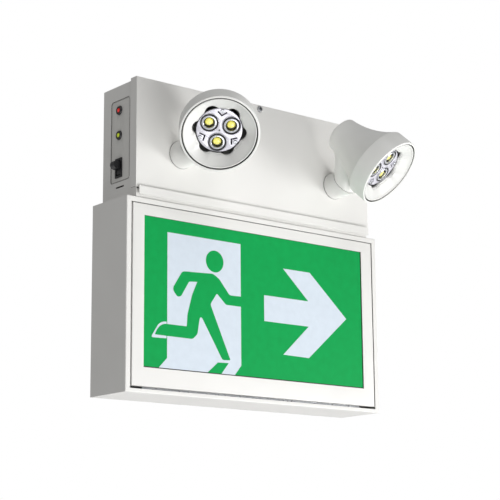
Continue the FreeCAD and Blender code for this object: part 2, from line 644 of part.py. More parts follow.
def make_battery_strap():
    """A folded band from the back panel over the battery and down to the floor."""
    owner = body("battery_strap")
    back = "-sheet"
    front = "(-sheet - 2 * battery_gap - battery_depth)"
    top = FLOOR + " + battery_height + battery_gap"
    points = [(back, top), (back, top + " + strap_foot"), (back + " - sheet", top + " + strap_foot"),
              (back + " - sheet", top + " + sheet"), (front + " - sheet", top + " + sheet"),
              (front + " - sheet", FLOOR + " + sheet"), (front + " - strap_foot", FLOOR + " + sheet"),
              (front + " - strap_foot", FLOOR), (front, FLOOR), (front, top)]
    pad(owner, outline(sketch(owner, "YZ_Plane", "-strap_width / 2"), points), "strap_width")
    upper = sketch(owner, "XZ_Plane", "4 * sheet")
    circle(upper, 0, top + " + strap_foot / 2 + sheet / 2", "screw_wide + 2 * screw_gap")
    pocket(owner, upper, "6 * sheet")
    lower = sketch(owner, "XY_Plane", FLOOR + " + 2 * sheet")
    circle(lower, 0, front + " - strap_foot / 2 - sheet / 2", "screw_wide + 2 * screw_gap")
    pocket(owner, lower, "4 * sheet")
    finish(owner, "battery_strap")
    screws = [screw("+Y", 0, back + " - sheet", top + " + strap_foot / 2 + sheet / 2", long="sheet - 0.3"),
              screw("-Z", 0, front + " - strap_foot / 2 - sheet / 2", FLOOR + " + sheet", long="sheet - 0.3")]
    finish(group(screws), "strap_screws")


def make_charger():
    """The charger board on four standoffs, and what is soldered to it."""
    left = "(%s / 2 - sheet - board_gap - board_width)" % CHASSIS_WIDTH
    low = "(%s + board_lift)" % FLOOR
    face = "(-sheet - standoff_tall - board_thick)"
    corners = [(left + " + board_width / 2 + %d * (board_width / 2 - board_hole_inset)" % across,
                low + " + board_height / 2 + %d * (board_height / 2 - board_hole_inset)" % up)
               for across in (-1, 1) for up in (-1, 1)]
    board = box(left, face, low, "board_width", "board_thick", "board_height")
    bores = [rod("+Y", x, face + " - 1", z, "standoff_wide / 2 + 2 * screw_gap", "3 * board_thick") for x, z in corners]
    finish(cut(board, bores), "charger_board")
    posts = [cut(rod("-Y", x, "-sheet", z, "standoff_wide", "standoff_tall"),
                 [rod("-Y", x, "-sheet / 2", z, "standoff_wide / 2 + 2 * screw_gap", "standoff_tall + sheet")])
             for x, z in corners]
    finish(group(posts), "board_standoffs")
    screws = [screw("+Y", x, face, z, "standoff_wide / 2", "standoff_wide", "screw_rise", "standoff_tall + board_thick / 2")
              for x, z in corners]
    finish(group(screws), "board_screws")
    cans = [rod("-Y", left + " + board_width * %.2f" % across, face, low + " + board_height * 0.8",
                "capacitor_wide * %.2f" % scale, "capacitor_tall * %.2f" % scale)
            for across, scale in ((0.3, 1.0), (0.54, 0.8), (0.72, 0.6))]
    finish(group(cans), "board_capacitors")
    relay = box(left + " + (board_width - relay_wide) / 2", face + " - relay_deep", low + " + board_height * 0.34",
                "relay_wide", "relay_deep", "relay_tall")
    finish(relay, "board_relay")
    fins_left = left + " + (board_width - fins_wide) / 2"
    fins_low = low + " + board_height * 0.55"
    fins = [box(fins_left, face + " - fins_deep", fins_low, "fins_wide", "fins_deep", "fin_thick")]
    for i in range(5):
        fins.append(box("%s + (fins_wide - fin_thick) * %d / 4" % (fins_left, i), face + " - fins_deep", fins_low,
                        "fin_thick", "fins_deep", "fins_tall"))
    finish(fuse(fins), "board_heat_sink")
    strip_left = left + " + (board_width - terminal_pitch * terminal_ways) / 2"
    strip_low = low + " + board_hole_inset + standoff_wide"
    strip = box(strip_left, face + " - terminal_deep", strip_low, "terminal_pitch * terminal_ways", "terminal_deep",
                "terminal_tall")
    wells = [box("%s + terminal_pitch * (%d + 0.2)" % (strip_left, i), face + " - terminal_deep - 1",
                 strip_low + " + terminal_tall / 4", "terminal_pitch * 0.6", "terminal_deep / 2", "terminal_tall / 2")
             for i in range(int(size["terminal_ways"]))]
    finish(cut(strip, wells), "terminal_block")


def make_transformer():
    """A core with the wound bobbin through it, on a foot plate screwed to the floor beside the test switch."""
    left = "(-%s / 2 + sheet_gap + switch_deep + transformer_gap)" % CHASSIS_WIDTH
    middle = left + " + transformer_width / 2"
    back = "(-sheet - transformer_foot)"
    core = box(left, back + " - transformer_depth * 0.7", FLOOR, "transformer_width", "transformer_depth * 0.7",
               "transformer_height")
    coil = box(left + " + transformer_width * 0.18", back + " - transformer_depth * 0.85", FLOOR + " + transformer_height * 0.18",
               "transformer_width * 0.64", "transformer_depth", "transformer_height * 0.64")
    foot = box(middle + " - transformer_foot / 2", back + " - transformer_depth * 0.7 - transformer_foot", FLOOR,
               "transformer_foot", "transformer_depth * 0.7 + 2 * transformer_foot - sheet_gap", "sheet")
    spots = [(middle, back + " + transformer_foot / 2"), (middle, back + " - transformer_depth * 0.7 - transformer_foot / 2")]
    holes = [rod("-Z", x, y, FLOOR + " + 2 * sheet", "screw_wide + 2 * screw_gap", "3 * sheet") for x, y in spots]
    finish(cut(fuse([core, coil, foot]), holes), "transformer")
    screws = [screw("-Z", x, y, FLOOR + " + sheet", long="sheet - 0.3") for x, y in spots]
    finish(group(screws), "transformer_screws")


# indicator panel

PANEL_OUT = "(-%s / 2 + sheet)" % CHASSIS_WIDTH       # the wall's inner face, on which the panel bears
PANEL_FACE = "(-%s / 2 + sheet_gap)" % CHASSIS_WIDTH  # the raised middle, just behind the wall's outer face


def make_indicator_panel():
    """A moulded plate behind the opening, with a raised middle that fills it."""
    owner = body("indicator_panel")
    low = SIGN_TOP + " + window_lift"
    plate = sketch(owner, "YZ_Plane", PANEL_OUT)
    rectangle(plate, "-window_back - window_width - indicator_lap", "-window_back + indicator_lap",
              low + " - tab_slot_drop + tab_slot_height", low + " + window_height + indicator_lap")
    pad(owner, plate, "indicator_thick")
    raised = sketch(owner, "YZ_Plane", PANEL_FACE)
    rectangle(raised, "-window_back - window_width + window_round / 3 + sheet_gap",
              "-window_back - window_round / 3 - sheet_gap",
              low + " + window_round / 3 + sheet_gap", low + " + window_height - window_round / 3 - sheet_gap")
    last = pad(owner, raised, "sheet")
    round_edges(owner, last, "window_round - 1", lambda b: b.XMax < number(PANEL_OUT) + 0.01 and b.XLength > 0.5)
    openings = sketch(owner, "YZ_Plane", PANEL_FACE + " + 4 * sheet")
    for lift in ("ac_lamp_lift", "ready_lamp_lift"):
        circle(openings, "-lamp_back", SIGN_TOP + " + " + lift, "lamp_bezel - 2 + 2 * screw_gap")
    rectangle_at = SIGN_TOP + " + switch_lift"
    rectangle(openings, "-lamp_back - switch_width / 2 + 1 - screw_gap", "-lamp_back + switch_width / 2 - 1 + screw_gap",
              rectangle_at + " - switch_height / 2 + 1 - screw_gap", rectangle_at + " + switch_height / 2 - 1 + screw_gap")
    pocket(owner, openings, "8 * sheet")
    finish(owner, "indicator_panel")


def make_pilot_lamps():
    """Two leds, each in a black holder that snaps into the panel."""
    holders = []
    for label, lift in (("ac_on_lamp", "ac_lamp_lift"), ("ready_lamp", "ready_lamp_lift")):
        height = SIGN_TOP + " + " + lift
        spot = (PANEL_FACE, "-lamp_back", height)
        collar = fuse([taper("-X", *spot, "lamp_bezel", "lamp_bezel - 1.6", 1.6),
                       rod("+X", *spot, "lamp_bezel - 2", 8)])
        holders.append(cut(collar, [rod("+X", PANEL_FACE + " - 3", *spot[1:], "lamp_bulb + 2 * screw_gap", 20)]))
        bulb = fuse([rod("-X", PANEL_FACE + " + 7", *spot[1:], "lamp_bulb", 7.2), ball(PANEL_FACE + " - 0.2", *spot[1:], "lamp_bulb")])
        finish(bulb, label)
    finish(group(holders), "lamp_holders")


def ball(x, y, z, wide):
    solid = doc.addObject("Part::Sphere", "ball")
    bind(solid, Radius="(%s) / 2" % wide)
    return place(solid, x, y, z)


def make_test_switch():
    """A framed body behind the panel, and the rocker that turns on two stub axles inside it."""
    height = SIGN_TOP + " + switch_lift"
    frame = box(PANEL_FACE + " - 1.2", "-lamp_back - switch_width / 2", height + " - switch_height / 2",
                1.2, "switch_width", "switch_height")
    case = box(PANEL_FACE, "-lamp_back - switch_width / 2 + 1", height + " - switch_height / 2 + 1",
               "switch_deep", "switch_width - 2", "switch_height - 2")
    well = box(PANEL_FACE + " - 2", "-lamp_back - switch_width / 2 + switch_rim + 0.4",
               height + " - switch_height / 2 + switch_rim + 0.4",
               "switch_deep", "switch_width - 2 * switch_rim - 0.8", "switch_height - 2 * switch_rim - 0.8")
    axle_hole = rod("+Y", PANEL_FACE + " + 5", "-lamp_back - switch_width", height, "2 + 2 * nipple_fit", "2 * switch_width")
    finish(cut(fuse([frame, case]), [well, axle_hole]), "test_switch_body")
    inside = "(switch_width - 2 * switch_rim - 0.8 - 2 * rocker_gap)"
    reach = "(switch_height - 2 * switch_rim - 0.8 - 2 * rocker_gap)"
    paddle = box(PANEL_FACE + " - 0.6", "-lamp_back - %s / 2" % inside, height + " - %s / 2 + 0.9" % reach,
                 6, inside, reach + " - 1.8")
    hub = rod("+Y", PANEL_FACE + " + 5", "-lamp_back - %s / 2" % inside, height, 7, inside)
    axle = rod("+Y", PANEL_FACE + " + 5", "-lamp_back - switch_width / 2 + 1.2", height, 2, "switch_width - 2.4")
    nose = rod("+Y", PANEL_FACE + " - rocker_out", "-lamp_back - %s / 2" % inside,
               height + " + %s / 2 - 0.9 - rocker_nose" % reach, "2 * rocker_nose", inside)
    stalk = box(PANEL_FACE + " - rocker_out", "-lamp_back - %s / 2" % inside,
                height + " + %s / 2 - 0.9 - 2 * rocker_nose" % reach, "rocker_out", inside, "2 * rocker_nose")
    finish(fuse([paddle, hub, axle, nose, stalk]), "test_rocker")


# lamp heads

def turret_frame(side):
    """Where a turret's own frame lies: its Z points out of the cover, and its end slants towards its X."""
    sign = -1 if side == "left" else 1
    spot = FreeCAD.Vector(size["cover_middle"] + sign * size["turret_spacing"] / 2, -size["cabinet_depth"],
                          size["sign_height"] / 2 + size["turret_lift"])
    out = FreeCAD.Rotation(FreeCAD.Vector(1, 0, 0), 90)
    swivel = FreeCAD.Rotation(FreeCAD.Vector(0, 0, 1), size[side + "_swivel"])
    return FreeCAD.Placement(spot, out.multiply(swivel))


def turn(axis, degrees):
    return FreeCAD.Placement(FreeCAD.Vector(), FreeCAD.Rotation(FreeCAD.Vector(*axis), degrees))


def shift(z):
    return FreeCAD.Placement(FreeCAD.Vector(0, 0, z), FreeCAD.Rotation())


def pivot_frame(side):
    """The pivot's frame: its Z is the pivot axis, square to the turret's slanted end."""
    return turret_frame(side) * shift(size["turret_tall"]) * turn((0, 1, 0), size["turret_cut"])


def head_frame(side):
    """The lamp's frame: its Z is the bell's axis, towards the rim, and its foot points to +X."""
    return (pivot_frame(side) * turn((0, 0, 1), size[side + "_turn"]) * shift(size["neck"])
            * turn((0, 1, 0), size["neck_angle"]))


def make_turret(side):
    """The round stub on the cover: shank, slanted end, wire bore and the nipple's bore."""
    reach = "2 * turret_tall"
    stub = rod("+Z", 0, 0, "swivel_gap", "turret_wide", reach)
    knife = box("-turret_wide * 2", "-turret_wide * 2", 0, "turret_wide * 4", "turret_wide * 4", reach)
    knife.Placement.Rotation = FreeCAD.Rotation(FreeCAD.Vector(0, 1, 0), size["turret_cut"])
    slope = "turret_cut * 1 deg"
    place(knife, "-turret_wide * 2 * cos(%s)" % slope, "-turret_wide * 2", "turret_tall + turret_wide * 2 * sin(%s)" % slope)
    shank = rod("-Z", 0, 0, "swivel_gap", "shank_wide", "shank_long + swivel_gap")
    bore = rod("+Z", 0, 0, "-2 * shank_long", "turret_bore", "2 * shank_long + turret_tall / 2")
    socket = rod("+Z", 0, 0, 0, "nipple_wide + 2 * screw_gap", "turret_tall")
    socket.Placement.Rotation = FreeCAD.Rotation(FreeCAD.Vector(0, 1, 0), size["turret_cut"])
    place(socket, "-0.8 * turret_tall * sin(%s)" % slope, 0, "turret_tall - 0.8 * turret_tall * cos(%s)" % slope)
    turret = cut(fuse([cut(stub, [knife]), shank]), [bore, socket])
    turret.Placement = turret_frame(side)
    finish(turret, side + "_turret")
    nut = hexagon("-Z", 0, 0, "-sheet - swivel_gap", "nut_wide", "nut_thick")
    ring = cut(nut, [rod("-Z", 0, 0, 0, "shank_wide + 2 * screw_gap", "2 * shank_long")])
    ring.Placement = turret_frame(side)
    finish(ring, side + "_turret_nut")


def make_pivot(side):
    """The hollow nipple that holds the lamp's foot to the turret, and the nut on its end."""
    tube = cut(rod("+Z", 0, 0, "-turret_tall / 3", "nipple_wide", "turret_tall / 3 + foot_floor + 7"),
               [rod("+Z", 0, 0, "-turret_tall", "nipple_bore", "3 * turret_tall")])
    tube.Placement = pivot_frame(side)
    finish(tube, side + "_pivot_nipple")
    nut = hexagon("+Z", 0, 0, "foot_floor + 2 * swivel_gap", "1.75 * nipple_wide", 3.5)
    ring = cut(nut, [rod("+Z", 0, 0, 0, "nipple_wide + 2 * screw_gap", "3 * foot_floor")])
    ring.Placement = pivot_frame(side)
    finish(ring, side + "_pivot_nut")


def bell_profile(owner, wall):
    """The bell's half section: straight rim band, hollow flank, shallow dome at the back."""
    rim = "rim_ahead"
    back = "rim_ahead - bell_length + bell_dome"
    drawing = sketch(owner, "XZ_Plane")
    dome = "(((bell_back_wide / 2)^2 + bell_dome^2) / (2 * bell_dome))"
    far = "rim_ahead + sheet" if wall != "0" else rim
    outline(drawing, [(0, far), (0, "rim_ahead - bell_length + %s" % wall, "(%s - %s)" % (dome, wall)),
                      ("bell_back_wide / 2 - %s" % wall, "%s + %s" % (back, wall), "-bell_curve"),
                      ("rim_wide / 2 - %s" % wall, "rim_ahead - band_long"),
                      ("rim_wide / 2 - %s" % wall, far)])
    return drawing


def make_lamp_housing(side):
    """The moulded bell, its foot lofted down to the turret, and the cavity inside both."""
    label = side + "_lamp_housing"
    owner = body(label)
    revolve(owner, bell_profile(owner, "0"))
    angle = "neck_angle * 1 deg"
    circle_low = sketch(owner, "XY_Plane")
    circle_low.AttachmentOffset = FreeCAD.Placement(FreeCAD.Vector(), FreeCAD.Rotation(FreeCAD.Vector(0, 1, 0), -size["neck_angle"]))
    bind(circle_low, AttachmentOffset__Base__x="(neck - swivel_gap) * sin(%s)" % angle,
         AttachmentOffset__Base__z="-(neck - swivel_gap) * cos(%s)" % angle)
    circle(circle_low, 0, 0, "foot_wide")
    circle_high = sketch(owner, "YZ_Plane", "foot_root_off")
    circle(circle_high, 0, "-foot_root_back", "foot_root")
    loft = owner.newObject("PartDesign::AdditiveLoft", "foot")
    loft.Profile = circle_low
    loft.Sections = [circle_high]
    loft.Ruled = True
    doc.recompute()
    revolve(owner, bell_profile(owner, "bell_wall"), "PartDesign::Groove")
    for wide, start in (("foot_bore", "foot_floor"), ("nipple_wide + 2 * nipple_fit", "-1")):
        bore = sketch(owner, "XY_Plane")
        bore.AttachmentOffset = circle_low.AttachmentOffset
        bind(bore, AttachmentOffset__Base__x="(neck - swivel_gap - (%s)) * sin(%s)" % (start, angle),
             AttachmentOffset__Base__z="-(neck - swivel_gap - (%s)) * cos(%s)" % (start, angle))
        circle(bore, 0, 0, wide)
        pocket(owner, bore, "neck / 2", True)
    owner.Placement = head_frame(side)
    finish(owner, label)


def make_bezel(side):
    """The moulded insert: a shallow cone down to a six-lobed opening, with a skirt inside the rim band."""
    label = side + "_bezel"
    owner = body(label)
    edge = "rim_ahead - bezel_set"
    outer = "(rim_wide / 2 - bell_wall - bezel_gap)"
    drawing = sketch(owner, "XZ_Plane")
    outline(drawing, [(outer, edge), (outer, edge + " - band_long * 0.7"), (outer + " - bezel_wall", edge + " - band_long * 0.7"),
                      (outer + " - bezel_wall", edge + " - 2 * bezel_wall"),
                      ("star_wide / 2", edge + " - cone_deep - bezel_wall"), ("star_wide / 2", edge + " - cone_deep"),
                      (outer + " - bezel_wall", edge)])
    revolve(owner, drawing)
    lobe = sketch(owner, "XY_Plane", edge + " + 1")
    circle(lobe, "lobe_reach - lobe_wide / 2", 0, "lobe_wide")
    first = pocket(owner, lobe, "band_long")
    ring = owner.newObject("PartDesign::PolarPattern", "lobes")
    ring.Originals = [first]
    ring.Axis = (lobe, ["N_Axis"])
    ring.Angle = 360
    bind(ring, Occurrences="lobes")
    owner.Tip = ring
    doc.recompute()
    owner.Placement = head_frame(side) * turn((0, 0, 1), size["module_roll"])
    finish(owner, label)


def ring_spots(radius, phase):
    """Places round a lamp's axis, one for each of the module's leds."""
    count = int(size["module_leds"])
    for i in range(count):
        angle = phase + 360.0 * i / count
        yield "(%s) * cos(%.3f deg)" % (radius, angle), "(%s) * sin(%.3f deg)" % (radius, angle)


def make_led_module(side):
    """Front plate with three lenses over three leds on a finned sink whose stem stands on the bell's back."""
    pose = head_frame(side) * turn((0, 0, 1), size["module_roll"])
    face = "(rim_ahead - module_set)"
    behind = "(rim_ahead - module_set - module_thick)"
    led_angle, screw_angle = 30.0, 90.0
    plate = rod("-Z", 0, 0, face, "module_wide", "module_thick")
    wells = [rod("-Z", x, y, face + " + 1", "lens_wide + 2 * screw_gap", "module_thick + 2")
             for x, y in ring_spots("lens_ring", led_angle)]
    wells += [rod("-Z", x, y, face + " + 1", "module_screw + 2 * screw_gap", "module_thick + 2")
              for x, y in ring_spots("module_screw_ring", screw_angle)]
    ribs = []
    for i in range(int(size["module_leds"])):
        for lean in (-1, 1):
            rib = box(-0.45, 0, face, 0.9, 4.2, 0.9)
            angle = screw_angle + 120.0 * i
            rib.Placement.Rotation = FreeCAD.Rotation(FreeCAD.Vector(0, 0, 1), angle - 90 + lean * 55)
            place(rib, "(lens_ring + 2) * cos(%.3f deg)" % (angle + lean * 3),
                  "(lens_ring + 2) * sin(%.3f deg)" % (angle + lean * 3), face + " - 0.3")
            ribs.append(rib)
    plate_cut = cut(fuse([plate] + ribs), wells)
    plate_cut.Placement = pose
    finish(plate_cut, side + "_module_plate")
    lenses, chips, screws = [], [], []
    for x, y in ring_spots("lens_ring", led_angle):
        lens = taper("+Z", x, y, face + " + 0.8 - lens_deep", "lens_back", "lens_wide", "lens_deep")
        dish = taper("+Z", x, y, face + " + 0.8 - lens_deep / 2", "lens_back * 0.75", "lens_back", "lens_deep / 2 + 0.01")
        seat = rod("+Z", x, y, face + " + 0.7 - lens_deep", "lens_back * 0.7", 1.6)
        lenses.append(cut(lens, [dish, seat]))
        chips.append(box("(%s) - chip_size / 2" % x, "(%s) - chip_size / 2" % y, face + " + 0.8 - lens_deep",
                         "chip_size", "chip_size", "chip_thick"))
    for x, y in ring_spots("module_screw_ring", screw_angle):
        screws.append(screw("-Z", x, y, face, "module_screw", "2 * module_screw", "0.5 * module_screw", 5))
    for label, solids in (("lenses", lenses), ("leds", chips), ("module_screws", screws)):
        gathered = group(solids)
        gathered.Placement = pose
        finish(gathered, "%s_%s" % (side, label))
    top = face + " + 0.8 - lens_deep"
    disc = rod("-Z", 0, 0, top, "sink_wide", "sink_long")
    rim = rod("-Z", 0, 0, behind, "module_wide", "lens_deep - module_thick - 0.8")
    hollow = rod("-Z", 0, 0, behind + " + 1", "module_wide - 6.8", "lens_deep - module_thick + 0.2")
    grooves = []
    for i in range(4):
        groove = cut(rod("-Z", 0, 0, "%s - sink_fin * (2 * %d + 1)" % (top, i), "sink_wide + 4", "sink_fin"),
                     [rod("-Z", 0, 0, "%s - sink_fin * (2 * %d + 1) + 1" % (top, i), "sink_stem + 4", "sink_fin + 2")])
        grooves.append(groove)
    threads = [rod("-Z", x, y, face, "module_screw + 2 * screw_gap", 6)
               for x, y in ring_spots("module_screw_ring", screw_angle)]
    stem = rod("-Z", 0, 0, top, "sink_stem", "bell_length - module_set - bell_wall - bell_dome / 3 + 0.8 - lens_deep")
    sink = cut(fuse([disc, cut(rim, [hollow]), stem]), grooves + threads)
    sink.Placement = pose
    finish(sink, side + "_heat_sink")


# build

make_sign_housing()
make_face_plate()
make_panels()
make_panel_rail("upper_panel_rail", 1)
make_panel_rail("lower_panel_rail", -1)
make_led_bar("upper_led_bar", 1)
make_led_bar("lower_led_bar", -1)
make_back_plate()
make_chassis()
make_cover()
make_cover_screw()
make_joining_bolts()
make_wire_bushing()
make_battery()
make_battery_strap()
make_charger()
make_transformer()
make_indicator_panel()
make_pilot_lamps()
make_test_switch()
for side in ("left", "right"):
    make_turret(side)
    make_pivot(side)
    make_lamp_housing(side)
    make_bezel(side)
    make_led_module(side)

doc.recompute()
for thing in doc.Objects:
    if "Invalid" in thing.State or "Error" in thing.State:
        raise RuntimeError("%s (%s) failed: %s" % (thing.Name, thing.Label, thing.State))
os.makedirs("parts", exist_ok=True)
for thing in parts:
    shape = thing.Shape
    if shape.isNull() or not shape.isValid():
        raise RuntimeError("%s has no valid shape" % thing.Label)
    shape.exportStep("parts/%s.step" % thing.Label)
print("%d sub-parts written" % len(parts))
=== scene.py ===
# Emergency exit light: lit sign housing, battery cabinet and two swivelling lamp heads.
import bpy
import bmesh
import json
import math
from mathutils import Matrix, Vector


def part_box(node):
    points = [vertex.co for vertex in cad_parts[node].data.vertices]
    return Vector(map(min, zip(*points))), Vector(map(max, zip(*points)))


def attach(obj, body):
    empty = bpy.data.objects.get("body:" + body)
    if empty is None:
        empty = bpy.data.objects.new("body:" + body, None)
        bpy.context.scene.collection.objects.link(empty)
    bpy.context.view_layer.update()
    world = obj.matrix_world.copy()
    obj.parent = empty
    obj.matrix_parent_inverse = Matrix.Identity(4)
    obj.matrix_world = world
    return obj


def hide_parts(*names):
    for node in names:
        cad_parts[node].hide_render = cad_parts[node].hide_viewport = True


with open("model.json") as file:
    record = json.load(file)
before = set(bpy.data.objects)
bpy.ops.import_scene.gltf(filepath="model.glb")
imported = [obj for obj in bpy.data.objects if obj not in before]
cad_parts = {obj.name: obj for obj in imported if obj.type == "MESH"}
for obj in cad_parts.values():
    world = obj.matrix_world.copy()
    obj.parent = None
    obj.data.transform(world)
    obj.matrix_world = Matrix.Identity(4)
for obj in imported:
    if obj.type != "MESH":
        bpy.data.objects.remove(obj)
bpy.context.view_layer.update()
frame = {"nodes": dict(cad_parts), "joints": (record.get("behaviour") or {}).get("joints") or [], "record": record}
mm = 0.001
print("frame loaded")


def linear(hexCode):
    # sRGB hex to linear RGBA
    values = [int(hexCode[i:i + 2], 16) / 255 for i in (1, 3, 5)]
    return [v / 12.92 if v <= 0.04045 else ((v + 0.055) / 1.055) ** 2.4 for v in values] + [1.0]


def addNode(tree, kind, settings=None, **inputs):
    # settings are the node's own fields; an input is a value, or a socket that is linked
    node = tree.nodes.new(kind)
    for field, value in (settings or {}).items():
        setattr(node, field, value)
    for key, value in inputs.items():
        socket = node.inputs[key.replace("_", " ")]
        if isinstance(value, bpy.types.NodeSocket):
            tree.links.new(value, socket)
        else:
            socket.default_value = value
    return node


def newMaterial(name, **shader):
    # a material with one Principled shader, and its object coordinates
    material = bpy.data.materials.new(name)
    material.use_nodes = True
    tree = material.node_tree
    tree.nodes.clear()
    coords = addNode(tree, "ShaderNodeTexCoord").outputs["Object"]
    surface = addNode(tree, "ShaderNodeBsdfPrincipled", None, **shader)
    addNode(tree, "ShaderNodeOutputMaterial", None, Surface=surface.outputs[0])
    return material, tree, surface, coords


def grainScale(sizeMm):
    # a noise scale whose features are about this many millimetres across
    return 1 / (sizeMm * mm)


def giveBump(tree, surface, height, strength, depthMm):
    bump = addNode(tree, "ShaderNodeBump", None, Height=height, Strength=strength, Distance=depthMm * mm)
    tree.links.new(bump.outputs[0], surface.inputs["Normal"])


def varyRoughness(tree, surface, fac, low, high):
    ranged = addNode(tree, "ShaderNodeMapRange", None, Value=fac, To_Min=low, To_Max=high)
    tree.links.new(ranged.outputs[0], surface.inputs["Roughness"])


def tint(tree, surface, fac, first, second):
    ramp = addNode(tree, "ShaderNodeValToRGB", None, Fac=fac)
    ramp.color_ramp.elements[0].color = linear(first)
    ramp.color_ramp.elements[1].color = linear(second)
    ramp.color_ramp.elements[0].position = 0.3
    ramp.color_ramp.elements[1].position = 0.7
    tree.links.new(ramp.outputs[0], surface.inputs["Base Color"])


# how open a spot is where it takes the painted seam shade's colour alone, and where it is unshaded
seams = {"closed": 0.28, "open": 0.7, "samples": 8}


def paintSeamShade(tree, surface, reachMm, shadeColour):
    # painted shade in the seams: the base colour falls to the shade colour where a gap closes in
    base = surface.inputs["Base Color"].links[0].from_socket
    near = addNode(tree, "ShaderNodeAmbientOcclusion", {"samples": seams["samples"]}, Distance=reachMm * mm)
    unshaded = addNode(tree, "ShaderNodeMapRange", None, Value=near.outputs["AO"],
                    From_Min=seams["closed"], From_Max=seams["open"])
    mixed = addNode(tree, "ShaderNodeMixRGB", None, Fac=unshaded.outputs[0], Color1=linear(shadeColour), Color2=base)
    tree.links.new(mixed.outputs[0], surface.inputs["Base Color"])


# seamShade is the colour of the painted shade in the coat's seams and gaps
powder = {"light": "#EAE9E6", "dark": "#E6E5E2", "seamShade": "#2C2B2A", "peelMm": 1.6, "roughness": (0.38, 0.5)}


def powderCoat():
    # white polyester powder coat on steel: even, with a soft orange-peel sheen
    material, tree, surface, coords = newMaterial("powderCoatedSteel", IOR=1.5)
    peel = addNode(tree, "ShaderNodeTexNoise", None, Vector=coords, Detail=2.0,
                   Scale=grainScale(powder["peelMm"]))
    broad = addNode(tree, "ShaderNodeTexNoise", None, Vector=coords, Scale=grainScale(60), Detail=1.0)
    tint(tree, surface, broad.outputs["Fac"], powder["dark"], powder["light"])
    # painted shade darkens the coat in its seams and gaps
    paintSeamShade(tree, surface, 3.0, powder["seamShade"])
    varyRoughness(tree, surface, peel.outputs["Fac"], *powder["roughness"])
    giveBump(tree, surface, peel.outputs["Fac"], 0.12, 0.05)
    return material


def mouldedWhite():
    # white ABS from a finely eroded mould: smooth, with a dull gloss
    material, tree, surface, coords = newMaterial("mouldedWhiteAbs", IOR=1.54)
    grain = addNode(tree, "ShaderNodeTexNoise", None, Vector=coords, Scale=grainScale(0.7), Detail=3.0)
    broad = addNode(tree, "ShaderNodeTexNoise", None, Vector=coords, Scale=grainScale(40), Detail=1.0)
    tint(tree, surface, broad.outputs["Fac"], "#E8E8E5", "#EEEEEB")
    # painted shade darkens the plastic in its seams and gaps
    paintSeamShade(tree, surface, 2.0, "#2C2B2A")
    varyRoughness(tree, surface, grain.outputs["Fac"], 0.3, 0.42)
    giveBump(tree, surface, grain.outputs["Fac"], 0.08, 0.03)
    return material


def panelPlastic():
    # light grey-white ABS of the test panel, a little duller than the steel round it
    material, tree, surface, coords = newMaterial("mouldedGreyAbs", IOR=1.54)
    grain = addNode(tree, "ShaderNodeTexNoise", None, Vector=coords, Scale=grainScale(0.5), Detail=3.0)
    tint(tree, surface, grain.outputs["Fac"], "#D8D7D3", "#DDDCD8")
    # painted shade darkens the plastic in its seams and gaps
    paintSeamShade(tree, surface, 1.5, "#2C2B2A")
    varyRoughness(tree, surface, grain.outputs["Fac"], 0.45, 0.6)
    giveBump(tree, surface, grain.outputs["Fac"], 0.15, 0.03)
    return material


def blackPlastic():
    # black nylon: dark, with a soft moulded sheen
    material, tree, surface, coords = newMaterial("mouldedBlackNylon", IOR=1.53)
    grain = addNode(tree, "ShaderNodeTexNoise", None, Vector=coords, Scale=grainScale(0.4), Detail=3.0)
    tint(tree, surface, grain.outputs["Fac"], "#17171A", "#1E1E21")
    varyRoughness(tree, surface, grain.outputs["Fac"], 0.35, 0.5)
    giveBump(tree, surface, grain.outputs["Fac"], 0.1, 0.03)
    return material


def printedSheet(name, light, dark, glow):
    # screen-printed ink on a polycarbonate sheet, lit a little from behind
    material, tree, surface, coords = newMaterial(
        name, IOR=1.58, Specular_IOR_Level=0.2, Emission_Color=linear(light), Emission_Strength=glow)
    ink = addNode(tree, "ShaderNodeTexNoise", None, Vector=coords, Scale=grainScale(9), Detail=3.0)
    tint(tree, surface, ink.outputs["Fac"], dark, light)
    satin = addNode(tree, "ShaderNodeTexNoise", None, Vector=coords, Scale=grainScale(0.6), Detail=2.0)
    varyRoughness(tree, surface, satin.outputs["Fac"], 0.32, 0.42)
    giveBump(tree, surface, satin.outputs["Fac"], 0.05, 0.02)
    return material


def zincSteel():
    # bright zinc plate: cool grey metal with faint streaks
    material, tree, surface, coords = newMaterial("zincPlatedSteel", Metallic=1.0)
    cloud = addNode(tree, "ShaderNodeTexNoise", None, Vector=coords, Scale=grainScale(3), Detail=4.0)
    tint(tree, surface, cloud.outputs["Fac"], "#B4B6BA", "#C6C8CC")
    # painted shade darkens the zinc in its recesses and seams
    paintSeamShade(tree, surface, 1.5, "#18181A")
    varyRoughness(tree, surface, cloud.outputs["Fac"], 0.22, 0.36)
    giveBump(tree, surface, cloud.outputs["Fac"], 0.05, 0.02)
    return material


def brass():
    # turned brass tube: warm, with fine lathe marks round it
    material, tree, surface, coords = newMaterial("turnedBrass", Metallic=1.0)
    marks = addNode(tree, "ShaderNodeTexNoise", None, Vector=coords, Scale=grainScale(0.5), Detail=2.0)
    tint(tree, surface, marks.outputs["Fac"], "#B08D4A", "#C9A662")
    varyRoughness(tree, surface, marks.outputs["Fac"], 0.25, 0.4)
    giveBump(tree, surface, marks.outputs["Fac"], 0.1, 0.02)
    return material


def silveredPlate():
    # vacuum-metallised ABS with a faint lavender cast, as the lamp module's face has
    material, tree, surface, coords = newMaterial("metallisedAbs", Metallic=0.45)
    cloud = addNode(tree, "ShaderNodeTexNoise", None, Vector=coords, Scale=grainScale(1.5), Detail=3.0)
    tint(tree, surface, cloud.outputs["Fac"], "#CDCCD6", "#DEDDE4")
    # painted shade darkens the plate in its slots and seams
    paintSeamShade(tree, surface, 1.2, "#1E1D24")
    varyRoughness(tree, surface, cloud.outputs["Fac"], 0.3, 0.42)
    giveBump(tree, surface, cloud.outputs["Fac"], 0.08, 0.03)
    return material


